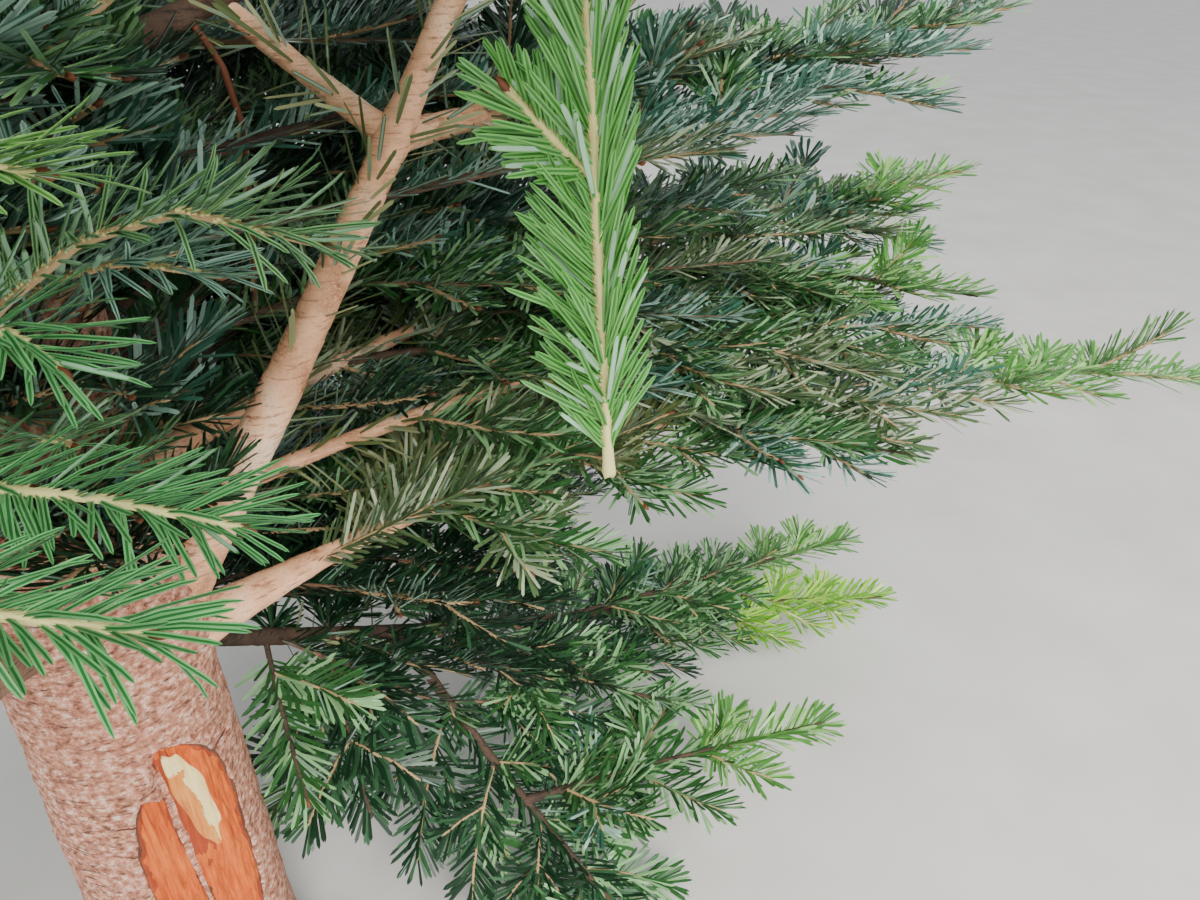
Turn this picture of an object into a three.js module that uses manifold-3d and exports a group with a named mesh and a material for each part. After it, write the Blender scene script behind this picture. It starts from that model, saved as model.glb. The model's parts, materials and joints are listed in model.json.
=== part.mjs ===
// A cut fir sold as a Christmas tree, held upright in a low three-legged steel stand.
// Millimetres, +Z up. The trunk's axis is the Z axis and the stand stands on z = 0.
// Angles are in degrees, and a side is an angle from +X towards +Y.

import * as THREE from "three";
import { mergeVertices } from "three/addons/utils/BufferGeometryUtils.js";
import Module from "manifold-3d";

const wasm = await Module();
wasm.setup();

// Driving dimensions
const GAP = 0.3;
const TREE_TOP = 2120;
const BUTT = 4.3;
const TRUNK = { tip: 5, girth: 49.5, taper: 1.05, flare: 3, flareHeight: 40, sway: 14, swayLength: 520 };
const SCAR = { z: 208, side: -43, width: 56, height: 172, depth: 7 };
const CUP = { inner: 58.6, outer: 62, height: 38, floor: 4, sides: 30 };
const LEG = { sides: [6, 126, 246], reach: 290, width: 38, top: 34, root: 12, tip: 8, foot: 46 };
const SCREW = { radius: 4, length: 22, sunk: 3, z: 25, head: 8, headLength: 8, sides: [36, 156, 276] };
const SPRIG = { cut: [250, -84, 483], heading: 150, lift: 87, length: 240, stem: 3, spread: 21,
  bareStem: 0.06, opening: 0.3, narrowing: 0.45 };

// Boughs that leave the trunk one by one, low down. A bough has the height and side where it leaves the
// trunk, the heading and lift it has there, how far both change on the way out, its length and thickness,
// the length that is bare, and the half width and depth of the mass of foliage on the rest of it.
// A lower widest puts the widest part of the mass nearer to the trunk. A higher loss thins the bough more.
const LOW_BOUGHS = [
  { name: "low_right", z: 334, side: 10, heading: 43, turn: -41, lift: 8, rise: -15,
    length: 748, thick: 22, loss: 1.6, bare: 300, width: 100, depth: 60 },
  { name: "mid_right", z: 384, side: 52, heading: 43, turn: -29, lift: 6, rise: -14,
    length: 602, thick: 11, loss: 1.1, bare: 290, width: 90, depth: 50 },
  { name: "behind", z: 402, side: 90, heading: 57, turn: -40, lift: 5, rise: -1,
    length: 719, thick: 18, loss: 1.3, bare: 250, width: 125, depth: 64 },
  { name: "drooping", z: 306, side: 90, heading: 68, turn: -67, lift: -43, rise: 44,
    length: 740, thick: 13, bare: 260, width: 95, depth: 42 },
  { name: "steep", z: 353, side: 12, heading: 32, turn: 52, lift: 54, rise: -35, bend: 3,
    length: 700, thick: 23, loss: 0.95, bare: 360, width: 120, depth: 84 },
  { name: "west", z: 340, side: 176, heading: 172, turn: 14, lift: 12, rise: -16,
    length: 760, thick: 22, bare: 170, width: 215, depth: 84 },
  { name: "south_west", z: 362, side: 232, heading: 236, turn: 4, lift: 16, rise: -18,
    length: 750, thick: 21, bare: 170, width: 205, depth: 84 },
  { name: "north_west", z: 385, side: 122, heading: 112, turn: 6, lift: 18, rise: -14,
    length: 740, thick: 20, bare: 170, width: 190, depth: 84 },
  { name: "south", z: 366, side: -98, heading: -98, turn: 12, lift: 10, rise: -16,
    length: 750, thick: 20, bare: 180, width: 160, depth: 80 },
  { name: "near_left", z: 480, side: -78, heading: -78, turn: 14, lift: 14, rise: -12, widest: 0.4,
    length: 460, thick: 15, bare: 80, width: 108, depth: 50 },
  { name: "upper_left", z: 581, side: 72, heading: 60, turn: 0, lift: 15, rise: 5,
    length: 640, thick: 14, bare: 160, width: 150, depth: 84 },
];

// Boughs that grow from the fork of the steep one, and the arm that lies back along the ground
const FORK = { parent: "steep", at: 250 };
const FORK_BOUGHS = [
  { name: "fork_right", heading: 62, turn: -38, lift: 0, rise: 5,
    length: 635, thick: 13, bare: 190, width: 110, depth: 66 },
  { name: "fork_left", heading: 164, turn: -31, lift: 33, rise: 2,
    length: 417, thick: 12, bare: 110, width: 105, depth: 80 },
];
const GROUND_ARM = { name: "ground_arm", parent: "drooping", at: 218, heading: -33, turn: -16, lift: -50,
  rise: 46, length: 330, thick: 9, bare: 60, width: 90, depth: 34 };

// Whorls higher up, each with its boughs at the listed sides. From the third up, foliage hides the boughs.
const SECOND = { name: "second", z: 650, sides: [-15, -52, -104], lift: 21, rise: -14,
  length: 750, thick: 19, bare: 150, width: 185, depth: 92 };
const HIDDEN_WHORLS = [
  { name: "second_back", z: 606, sides: [128, 196], lift: 21, rise: -14, length: 750, bare: 0,
    width: 195, depth: 104 },
  { name: "third", z: 810, sides: [24, 98, 166, 238, 314], lift: 26, rise: -12, length: 690, bare: 0,
    width: 195, depth: 116 },
  { name: "fourth", z: 1030, sides: [58, 130, 204, 276, 346], lift: 31, rise: -14, length: 590, bare: 0,
    width: 190, depth: 124 },
];

// How much the boughs of a whorl differ: in height, in turn and lift, and in length
const VARIATION = { height: 26, turn: 16, lift: 7, shortest: 0.93, longer: 0.14 };

// How a bough thins on its way out and swells at its collar, where it leaves what it grows on
const THINNING = { loss: 0.67, collar: 0.3, collarLength: 22 };

// The outline of a mass: how wide and deep it is at its ends, where it is fullest, how far its edges hang
const FAN = { endWidth: 0.13, widest: 0.62, endDepth: 0.3, deepest: 0.55, droop: 0.16,
  unevenness: 0.4, lap: 8 };

// Closed tiers of foliage near the top, each with its lobes, and the leader above them. Between two lobes
// a tier reaches only as far as valley says.
const TIERS = [
  { name: "fifth", z: 1235, lobes: 5, first: 20, reach: 435, lift: 33, depth: 160 },
  { name: "sixth", z: 1445, lobes: 5, first: 52, reach: 325, lift: 36, depth: 150 },
  { name: "seventh", z: 1640, lobes: 5, first: 16, reach: 225, lift: 42, depth: 124 },
];
const TIER_EDGE = { valley: 0.62, unevenness: 0.2, depthUnevenness: 0.4, flattening: 0.25, sunk: 4 };
const LEADER = { z: 1815, lobes: 4, first: 10, reach: 130, shoulder: 130, neck: 30, over: 28,
  skirtEnd: 1.25, underside: 0.35, filling: 1.6, closing: 0.15, tip: 0.12 };

const BARK = { color: 0x8a7468, roughness: 0.9 };
const SHOOT_BARK = { color: 0xa88a6c, roughness: 0.85 };
const FOLIAGE = { color: 0x35562f, roughness: 0.7 };
const STEEL = { color: 0x2f4a38, roughness: 0.45, metalness: 0.6 };
const ZINC = { color: 0xb4b6b4, roughness: 0.35, metalness: 0.9 };

const UP = new THREE.Vector3(0, 0, 1);

function direction(heading, lift) {
  const h = THREE.MathUtils.degToRad(heading);
  const e = THREE.MathUtils.degToRad(lift);
  return new THREE.Vector3(Math.cos(e) * Math.cos(h), Math.cos(e) * Math.sin(h), Math.sin(e));
}

// A repeatable value from 0 to 1 for a whole number
function chance(seed) {
  const value = Math.sin(seed * 12.9898 + 4.1414) * 43758.5453;
  return value - Math.floor(value);
}

// A closed tube or mass: each vertex of a unit cylinder is put where place(along, across, over) says,
// with along from 0 to 1 and the other two on the unit circle.
function loft(sides, rings, place) {
  const geometry = new THREE.CylinderGeometry(1, 1, 1, sides, rings);
  const position = geometry.getAttribute("position");
  for (let i = 0; i < position.count; i += 1) {
    const point = place(position.getY(i) + 0.5, position.getX(i), position.getZ(i));
    position.setXYZ(i, point.x, point.y, point.z);
  }
  return geometry;
}

function solidOf(geometry) {
  const bare = new THREE.BufferGeometry();
  const flat = geometry.index ? geometry : mergeVertices(geometry);
  bare.setAttribute("position", flat.getAttribute("position"));
  bare.setIndex(flat.index);
  const merged = mergeVertices(bare, 1e-4);
  return new wasm.Manifold(new wasm.Mesh({
    numProp: 3,
    vertProperties: Float32Array.from(merged.getAttribute("position").array),
    triVerts: Uint32Array.from(merged.index.array),
  }));
}

function geometryOf(solid) {
  const mesh = solid.getMesh();
  const geometry = new THREE.BufferGeometry();
  geometry.setAttribute("position", new THREE.BufferAttribute(mesh.vertProperties, 3));
  geometry.setIndex(new THREE.BufferAttribute(mesh.triVerts, 1));
  geometry.computeVertexNormals();
  return geometry;
}

// What is left of a solid when others are cut from it: its largest piece
function cutRound(solid, others) {
  const left = others.reduce((shape, other) => shape.subtract(other), solid);
  const pieces = left.decompose();
  return pieces.reduce((largest, piece) => (piece.volume() > largest.volume() ? piece : largest));
}

const tree = new THREE.Group();
tree.name = "christmas_tree";

function addPart(name, solid, look) {
  const material = new THREE.MeshStandardMaterial({ ...look, flatShading: true });
  const mesh = new THREE.Mesh(geometryOf(solid), material);
  mesh.name = name;
  tree.add(mesh);
}

// Trunk

function trunkCentre(z) {
  const bend = TRUNK.sway * Math.sin(z / TRUNK.swayLength) * (z / TREE_TOP) ** 2;
  return new THREE.Vector3(bend, -0.6 * bend, z);
}

function trunkRadius(z) {
  const flare = TRUNK.flare * Math.exp(-(z - BUTT) / TRUNK.flareHeight);
  return TRUNK.tip + TRUNK.girth * Math.max(0, 1 - z / TREE_TOP) ** TRUNK.taper + flare;
}

function trunkSolid(grow) {
  const sides = 12;
  const rings = 16;
  const unevenness = 0.03;
  const geometry = loft(sides, rings, (along, across, over) => {
    const low = BUTT - grow;
    const z = low + (TREE_TOP + grow - low) * along;
    const turn = Math.round(Math.atan2(across, over) * sides / (2 * Math.PI)) + sides;
    const ring = Math.round(along * rings);
    const uneven = 1 + unevenness * (chance(ring * 31 + turn % sides) - 0.5);
    const radius = trunkRadius(z) * uneven + grow;
    return trunkCentre(z).add(new THREE.Vector3(-across * radius, over * radius, 0));
  });
  return solidOf(geometry);
}

// The flat face where a low bough was sawn off close to the trunk
function scarCutter() {
  const thick = 60;
  const geometry = new THREE.CylinderGeometry(SCAR.width / 2, SCAR.width / 2, thick, 18);
  geometry.scale(1, 1, SCAR.height / SCAR.width);
  geometry.rotateZ(Math.PI / 2);
  geometry.translate(trunkRadius(SCAR.z) - SCAR.depth + thick / 2, 0, SCAR.z);
  geometry.rotateZ(THREE.MathUtils.degToRad(SCAR.side));
  return solidOf(geometry);
}

// Boughs

function boughCurve(bough, start) {
  const steps = 24;
  const bend = bough.bend ?? 1;
  const points = [start.clone()];
  for (let i = 0; i < steps; i += 1) {
    const along = (i + 0.5) / steps;
    const heading = bough.heading + bough.turn * along;
    const step = direction(heading, bough.lift + bough.rise * along ** bend);
    points.push(points[i].clone().addScaledVector(step, bough.length / steps));
  }
  return new THREE.CatmullRomCurve3(points);
}

function trunkStart(bough) {
  const centre = trunkCentre(bough.z);
  const sunk = 8;
  return centre.addScaledVector(direction(bough.side, 0), trunkRadius(bough.z) - sunk);
}

function frameAt(curve, along) {
  const forward = curve.getTangent(along);
  const across = new THREE.Vector3().crossVectors(forward, UP).normalize();
  const over = new THREE.Vector3().crossVectors(across, forward);
  return { point: curve.getPoint(along), forward, across, over };
}

// A bough is thickest at its collar and thins evenly from there.
function boughRadius(bough, distance) {
  const collar = THINNING.collar * Math.exp(-distance / THINNING.collarLength);
  const loss = bough.loss ?? THINNING.loss;
  return 0.5 * bough.thick * (1 - loss * distance / bough.length + collar);
}

// A grown shape is also longer at both ends.
function endShift(along, grow) {
  if (along === 0) {
    return -grow;
  }
  return along === 1 ? grow : 0;
}

function boughSolid(bough, curve, grow) {
  const sides = 6;
  const ringLength = 60;
  const rings = Math.max(4, Math.round(bough.bare / ringLength));
  return solidOf(loft(sides, rings, (along, across, over) => {
    const distance = bough.bare * along;
    const frame = frameAt(curve, distance / bough.length);
    const radius = boughRadius(bough, distance) + grow;
    const end = endShift(along, grow);
    return frame.point.addScaledVector(frame.across, across * radius)
      .addScaledVector(frame.over, over * radius)
      .addScaledVector(frame.forward, end);
  }));
}

// Foliage

// A mass is a flattened, uneven fan along the outer part of its bough, with its edges hanging a little.
function massSolid(bough, curve, seed, grow) {
  const sides = 8;
  const rings = 6;
  const from = Math.max(0, bough.bare - FAN.lap) / bough.length;
  const droop = FAN.droop * bough.width;
  const widest = bough.widest ?? FAN.widest;
  const between = (end, fullest, along) => end + (1 - end) * Math.sin(Math.PI * along ** fullest);
  return solidOf(loft(sides, rings, (along, across, over) => {
    const frame = frameAt(curve, from + (1 - from) * along);
    const spread = between(FAN.endWidth, widest, along);
    const fill = between(FAN.endDepth, FAN.deepest, along);
    const turn = Math.round(Math.atan2(across, over) * sides / (2 * Math.PI)) + sides;
    const ring = Math.round(along * rings);
    const inside = ring > 0 && ring < rings;
    const shift = FAN.unevenness * (chance(seed * 97 + ring * 13 + turn % sides) - 0.5);
    const uneven = inside ? shift : 0;
    const halfWidth = bough.width * spread * (1 + uneven) + grow;
    const halfDepth = 0.5 * bough.depth * fill * (1 + 0.25 * uneven) + grow;
    const end = endShift(along, grow);
    return frame.point.addScaledVector(frame.across, across * halfWidth)
      .addScaledVector(frame.over, over * halfDepth)
      .addScaledVector(UP, -droop * across * across * spread)
      .addScaledVector(frame.forward, end);
  }));
}

// A lobed tier of foliage round the trunk: each side's section rises outwards from the trunk to the edge.
function tierSolid(tier, grow) {
  const sides = 20;
  const corners = 5;
  const inner = trunkRadius(tier.z) - TIER_EDGE.sunk;
  const geometry = new THREE.TorusGeometry(1, 0.5, corners, sides);
  const position = geometry.getAttribute("position");
  const slope = Math.tan(THREE.MathUtils.degToRad(tier.lift));
  const perRing = sides + 1;
  for (let i = 0; i < position.count; i += 1) {
    const side = (i % perRing) % sides;
    const corner = Math.floor(i / perRing) % corners;
    const angle = 2 * Math.PI * side / sides;
    const lobe = 0.5 + 0.5 * Math.cos(tier.lobes * (angle - THREE.MathUtils.degToRad(tier.first)));
    const edge = 1 + TIER_EDGE.unevenness * (chance(side * 7 + tier.z) - 0.5);
    const reach = tier.reach * (TIER_EDGE.valley + (1 - TIER_EDGE.valley) * lobe) * edge;
    const section = Math.PI + 2 * Math.PI * corner / corners;
    const out = inner + (reach - inner) * (0.5 + 0.5 * Math.cos(section));
    const radius = out + Math.sign(Math.cos(section)) * grow;
    const thickness = 1 + TIER_EDGE.depthUnevenness * (chance(side * 11 + corner) - 0.5);
    const high = 0.5 * tier.depth * Math.sin(section) * thickness;
    const lift = slope * (out - inner) * (1 - TIER_EDGE.flattening * out / reach);
    const centre = trunkCentre(tier.z);
    position.setXYZ(i, centre.x + radius * Math.cos(angle), centre.y + radius * Math.sin(angle),
      tier.z + lift + high + Math.sign(Math.round(high)) * grow);
  }
  return solidOf(geometry);
}

// The top whorl and the leader: one mass round the end of the trunk, closed over its tip
function leaderSolid() {
  const sides = 12;
  const rings = 7;
  return solidOf(loft(sides, rings, (along, across, over) => {
    const angle = Math.atan2(over, -across);
    const lobe = 0.5 + 0.5 * Math.cos(LEADER.lobes * (angle - THREE.MathUtils.degToRad(LEADER.first)));
    const z = LEADER.z + (TREE_TOP + LEADER.over - LEADER.z) * along;
    const rising = (z - LEADER.z) / LEADER.shoulder;
    const under = Math.min(1, LEADER.underside + LEADER.filling * rising);
    const skirt = Math.max(0, 1 - rising / LEADER.skirtEnd) * under;
    const reach = LEADER.neck + (LEADER.reach - LEADER.neck) * skirt * (0.5 + 0.5 * lobe);
    const close = Math.min(1, Math.max(LEADER.tip, (1 - along) / LEADER.closing));
    const radius = Math.hypot(across, over) * reach * close;
    return trunkCentre(Math.min(z, TREE_TOP)).setZ(z)
      .add(new THREE.Vector3(Math.cos(angle) * radius, Math.sin(angle) * radius, 0));
  }));
}

// A small cut sprig that hangs by its shoots from the foliage above it, cut end down
function sprigSolid(grow) {
  const curve = boughCurve({ ...SPRIG, turn: 0, rise: 0 }, new THREE.Vector3(...SPRIG.cut));
  const sides = 8;
  const rings = 6;
  return solidOf(loft(sides, rings, (along, across, over) => {
    const frame = frameAt(curve, along);
    const open = Math.min(1, Math.max(0, (along - SPRIG.bareStem) / SPRIG.opening));
    const full = (SPRIG.spread - SPRIG.stem) * (1 - SPRIG.narrowing * along ** 3);
    const radius = SPRIG.stem + full * open + grow;
    return frame.point.addScaledVector(frame.across, across * radius)
      .addScaledVector(frame.over, over * radius)
      .addScaledVector(frame.forward, along === 1 ? grow : 0);
  }));
}

// Stand

function cupSolid() {
  const profile = [[0, 0], [CUP.outer, 0], [CUP.outer, CUP.height], [CUP.inner, CUP.height],
    [CUP.inner, CUP.floor], [0, CUP.floor]];
  const points = profile.map(([r, z]) => new THREE.Vector2(r, z));
  const geometry = new THREE.LatheGeometry(points, CUP.sides);
  geometry.rotateX(Math.PI / 2);
  const cup = solidOf(geometry);
  const holes = SCREW.sides.map((side) => screwRod(side, SCREW.radius + GAP));
  return cutRound(cup, holes);
}

function legSolid(side, grow) {
  const root = CUP.outer + GAP;
  const end = LEG.reach + grow;
  const outline = [[root, LEG.root - grow], [LEG.reach - LEG.foot, -grow], [end, -grow],
    [end, LEG.tip + grow], [root, LEG.top + grow]];
  const shape = new THREE.Shape(outline.map(([r, z]) => new THREE.Vector2(r, z)));
  const depth = LEG.width + 2 * grow;
  const geometry = new THREE.ExtrudeGeometry(shape, { depth, bevelEnabled: false });
  geometry.translate(0, 0, -depth / 2);
  geometry.rotateX(Math.PI / 2);
  geometry.rotateZ(THREE.MathUtils.degToRad(side));
  const round = new THREE.CylinderGeometry(root, root, 4 * CUP.height, CUP.sides);
  round.rotateX(Math.PI / 2);
  return cutRound(solidOf(geometry), [solidOf(round)]);
}

function screwRod(side, radius) {
  const start = trunkRadius(SCREW.z) - SCREW.sunk;
  const geometry = new THREE.CylinderGeometry(radius, radius, SCREW.length, 8);
  geometry.rotateZ(Math.PI / 2);
  geometry.translate(start + SCREW.length / 2, 0, SCREW.z);
  geometry.rotateZ(THREE.MathUtils.degToRad(side));
  return solidOf(geometry);
}

function screwSolid(side) {
  const lap = 1;
  const start = trunkRadius(SCREW.z) - SCREW.sunk + SCREW.length - lap;
  const head = new THREE.CylinderGeometry(SCREW.head, SCREW.head, SCREW.headLength, 6);
  head.rotateZ(Math.PI / 2);
  head.translate(start + SCREW.headLength / 2, 0, SCREW.z);
  head.rotateZ(THREE.MathUtils.degToRad(side));
  return cutRound(screwRod(side, SCREW.radius).add(solidOf(head)), [grownTrunk]);
}

// Assembly: the trunk first, then the boughs cut round it, then the masses cut round both

const grownTrunk = trunkSolid(GAP);
addPart("trunk", cutRound(trunkSolid(0), [scarCutter()]), BARK);

addPart("stand_cup", cupSolid(), STEEL);
LEG.sides.forEach((side, i) => addPart(`stand_leg_${i + 1}`, legSolid(side, 0), STEEL));
SCREW.sides.forEach((side, i) => addPart(`stand_screw_${i + 1}`, screwSolid(side), ZINC));

const limbs = new Map();
const obstacles = [grownTrunk, ...LEG.sides.map((side) => legSolid(side, GAP))];

function growBough(bough, start) {
  const curve = boughCurve(bough, start);
  addPart(`bough_${bough.name}`, cutRound(boughSolid(bough, curve, 0), obstacles), SHOOT_BARK);
  limbs.set(bough.name, { bough, curve });
  obstacles.push(boughSolid(bough, curve, GAP));
}

LOW_BOUGHS.forEach((bough) => growBough(bough, trunkStart(bough)));

function growFrom(bough, parentName, distance) {
  const parent = limbs.get(parentName);
  growBough(bough, parent.curve.getPoint(distance / parent.bough.length));
}

FORK_BOUGHS.forEach((bough) => growFrom(bough, FORK.parent, FORK.at));
growFrom(GROUND_ARM, GROUND_ARM.parent, GROUND_ARM.at);

// A whorl's boughs differ a little in height, lift and length.
function whorlBoughs(whorl) {
  return whorl.sides.map((side, i) => ({
    ...whorl,
    name: `${whorl.name}_${i + 1}`,
    side,
    z: whorl.z + VARIATION.height * (chance(whorl.z + i) - 0.5),
    heading: side,
    turn: VARIATION.turn * (chance(whorl.z + i + 40) - 0.5),
    lift: whorl.lift + VARIATION.lift * (chance(whorl.z + i + 80) - 0.5),
    length: whorl.length * (VARIATION.shortest + VARIATION.longer * chance(whorl.z + i + 120)),
  }));
}

whorlBoughs(SECOND).forEach((bough) => growBough(bough, trunkStart(bough)));
obstacles.push(sprigSolid(GAP));

function addMass(name, solid, grown) {
  addPart(name, cutRound(solid, obstacles), FOLIAGE);
  obstacles.push(grown);
}

const hidden = HIDDEN_WHORLS.flatMap(whorlBoughs);
const hiddenFans = hidden.map((bough) => ({ bough, curve: boughCurve(bough, trunkStart(bough)) }));
[...limbs.values(), ...hiddenFans].forEach(({ bough, curve }, i) => {
  addMass(`mass_${bough.name}`, massSolid(bough, curve, i, 0), massSolid(bough, curve, i, 2 * GAP));
});

TIERS.forEach((tier) => addMass(`mass_${tier.name}`, tierSolid(tier, 0), tierSolid(tier, 2 * GAP)));
addMass("mass_leader", leaderSolid(), leaderSolid());
addPart("hanging_sprig", sprigSolid(0), FOLIAGE);

export default tree;
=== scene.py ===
"""The looks of a whole cut fir, held upright in a low steel stand.

Boughs, twigs and needles grow on from the limbs of the CAD model by a seeded rule.
Lengths here are millimetres in the model's frame until a mesh is made.
"""

import json
import math

import bpy
import numpy as np
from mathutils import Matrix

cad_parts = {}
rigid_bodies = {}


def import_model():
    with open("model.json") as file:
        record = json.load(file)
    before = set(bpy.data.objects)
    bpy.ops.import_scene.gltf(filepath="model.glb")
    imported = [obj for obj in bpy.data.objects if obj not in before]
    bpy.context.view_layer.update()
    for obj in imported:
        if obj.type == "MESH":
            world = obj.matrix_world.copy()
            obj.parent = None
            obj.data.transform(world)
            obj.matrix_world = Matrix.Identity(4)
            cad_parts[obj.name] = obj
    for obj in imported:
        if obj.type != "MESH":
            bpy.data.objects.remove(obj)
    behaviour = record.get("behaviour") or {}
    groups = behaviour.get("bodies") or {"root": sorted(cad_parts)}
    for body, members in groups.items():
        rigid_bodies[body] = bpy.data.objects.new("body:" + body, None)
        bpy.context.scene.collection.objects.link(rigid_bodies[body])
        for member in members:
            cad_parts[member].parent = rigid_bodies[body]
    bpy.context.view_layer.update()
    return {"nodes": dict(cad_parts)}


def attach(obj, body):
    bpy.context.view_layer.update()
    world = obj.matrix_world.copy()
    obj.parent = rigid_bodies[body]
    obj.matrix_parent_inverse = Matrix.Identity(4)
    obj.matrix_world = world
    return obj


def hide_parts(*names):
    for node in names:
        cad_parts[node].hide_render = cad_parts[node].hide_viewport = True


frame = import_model()

UP = np.array([0.0, 0.0, 1.0])
METRE = 0.001
PIECE_LIMIT = 190000
NO_QUADS = np.zeros((0, 4), int)
NO_TRIANGLES = np.zeros((0, 3), int)

# Sizes of the limbs, the same as in the CAD model.
# Widest, slim, tapering and fresh only serve the looks.
TREE_TOP = 2120
BUTT = 4.3
TRUNK = {
    "tip": 5, "girth": 49.5, "taper": 1.05, "flare": 3, "flare_height": 40, "sway": 14,
    "sway_length": 520,
}
SCAR = {"z": 208, "side": -43, "width": 56, "height": 172}
CUP = {"inner": 58.6, "outer": 62, "height": 38, "floor": 4}
LEG = {"sides": (6, 126, 246), "reach": 290, "width": 38, "top": 34, "root": 12, "tip": 8, "foot": 46}
SCREW = {
    "radius": 4, "length": 22, "sunk": 3, "z": 25, "head": 8, "head_length": 8, "sides": (36, 156, 276),
}


def limb(name="", **sizes):
    return {"name": name, "turn": 0, "bend": 1, "widest": 0.62, "loss": 0.67, "slim": 1, "tapering": 0,
            "fresh": 105, **sizes}


# The numbers that each row in a table of limbs ends with
GROWTH = ("heading", "turn", "lift", "rise", "length", "thick", "bare", "width", "depth")


def limb_table(sizes, rows):
    return [limb(**dict(zip(sizes + GROWTH, row))) for row in rows]


LOW_BOUGHS = [
    limb("low_right", z=334, side=10, heading=43, turn=-41, lift=8, rise=-15,
         length=748, thick=22, loss=1.6, slim=0.6, tapering=0.4, fresh=180,
         bare=300, width=100, depth=60),
    limb("mid_right", z=384, side=52, heading=43, turn=-29, lift=6, rise=-14,
         length=602, thick=11, loss=1.1, bare=290, width=90, depth=50),
    limb("behind", z=402, side=90, heading=57, turn=-40, lift=5, rise=-1,
         length=719, thick=18, loss=1.3, slim=0.75, bare=250, width=125, depth=64),
    limb("drooping", z=306, side=90, heading=68, turn=-67, lift=-43, rise=44,
         length=740, thick=13, fresh=150, bare=260, width=95, depth=42),
    limb("steep", z=353, side=12, heading=32, turn=52, lift=54, rise=-35, bend=3,
         length=700, thick=23, loss=0.95, bare=360, width=120, depth=84),
    limb("west", z=340, side=176, heading=172, turn=14, lift=12, rise=-16,
         length=760, thick=22, bare=170, width=215, depth=84),
    limb("south_west", z=362, side=232, heading=236, turn=4, lift=16, rise=-18,
         length=750, thick=21, bare=170, width=205, depth=84),
    limb("north_west", z=385, side=122, heading=112, turn=6, lift=18, rise=-14,
         length=740, thick=20, bare=170, width=190, depth=84),
    limb("south", z=366, side=-98, heading=-98, turn=12, lift=10, rise=-16,
         length=750, thick=20, bare=180, width=160, depth=80),
    limb("near_left", z=480, side=-78, heading=-78, turn=14, lift=14, rise=-12, widest=0.4,
         length=460, thick=15, bare=80, width=108, depth=50),
    limb("upper_left", z=581, side=72, heading=60, lift=15, rise=5,
         length=640, thick=14, bare=160, width=150, depth=84),
]
FORK_BOUGHS = limb_table(("name", "parent", "at"), [
    ("fork_right", "steep", 250, 62, -38, 0, 5, 635, 13, 190, 110, 66),
    ("fork_left", "steep", 250, 164, -31, 33, 2, 417, 12, 110, 105, 80),
    ("ground_arm", "drooping", 218, -33, -16, -50, 46, 330, 9, 60, 90, 34),
])
SECOND = limb("second", z=650, sides=(-15, -52, -104), lift=21, rise=-14,
              length=750, thick=19, bare=150, width=185, depth=92)
HIDDEN_WHORLS = [
    limb("second_back", z=606, sides=(128, 196), lift=21, rise=-14, length=750, thick=18,
         bare=0, width=195, depth=104),
    limb("third", z=810, sides=(24, 98, 166, 238, 314), lift=26, rise=-12, length=690, thick=17,
         bare=0, width=195, depth=116),
    limb("fourth", z=1030, sides=(58, 130, 204, 276, 346), lift=31, rise=-14, length=590, thick=15,
         bare=0, width=190, depth=124),
]
TIERS = [
    {"name": "fifth", "z": 1235, "first": 20, "reach": 435, "lift": 33, "depth": 160, "thick": 13},
    {"name": "sixth", "z": 1445, "first": 52, "reach": 325, "lift": 36, "depth": 150, "thick": 11},
    {"name": "seventh", "z": 1640, "first": 16, "reach": 225, "lift": 42, "depth": 124, "thick": 9},
]
TIER_LOBES = 5
LEADER = {"z": 1815, "lobes": 4, "first": 10, "reach": 130}
SPRIG = {"cut": (250, -84, 483), "heading": 150, "lift": 87, "length": 240}

# Thinner boughs from the trunk, inside and behind the masses of the low whorls
FILLERS = limb_table(("z", "side"), [
    (420, 118, 98, -8, 4, -12, 620, 8, 24, 150, 60),
    (455, 84, 76, -10, 9, -8, 600, 8, 24, 150, 60),
    (505, 110, 92, 6, 11, -8, 560, 8, 20, 150, 60),
    (545, 62, 52, -12, 4, 2, 440, 7, 24, 120, 60),
    (350, 128, 118, 8, -10, 4, 560, 8, 30, 140, 60),
    (470, 150, 142, 6, 8, -8, 540, 9, 60, 140, 60),
    (550, 140, 128, -6, 6, 0, 560, 9, 60, 140, 60),
    (468, 58, 56, -30, 0, 3, 500, 6, 60, 95, 60),
    (300, 104, 94, -12, -20, 14, 520, 7, 60, 130, 50),
    (520, 44, 36, -8, 2, 6, 440, 6, 120, 90, 50),
    (372, 112, 107, 3, -13, 6, 640, 8, 30, 150, 60),
    (338, 92, 86, -3, -13, -4, 560, 8, 40, 150, 60),
    (362, 78, 72, -4, -10, -4, 620, 8, 50, 150, 60),
    (318, 70, 60, 16, -20, 4, 520, 7, 60, 140, 50),
    (300, 88, 84, 6, -30, 10, 420, 7, 40, 130, 50),
    (590, 86, 86, 4, 0, -2, 650, 7, 60, 150, 60),
    (404, 77, 77, -4, -1, -4, 500, 7, 60, 140, 60),
    (722, 104, 100, 6, 24, -8, 380, 8, 24, 150, 60),
    (868, 74, 76, -4, 28, -8, 330, 8, 24, 140, 60),
    (480, 98, 85, 0, 9, -6, 640, 7, 300, 150, 60),
    (472, 86, 80, 0, 10, -6, 660, 7, 400, 150, 60),
    (430, 90, 79, -2, 9, -6, 640, 7, 400, 150, 60),
    (420, 88, 80, -4, 5, -2, 640, 7, 420, 150, 60),
])

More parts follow.
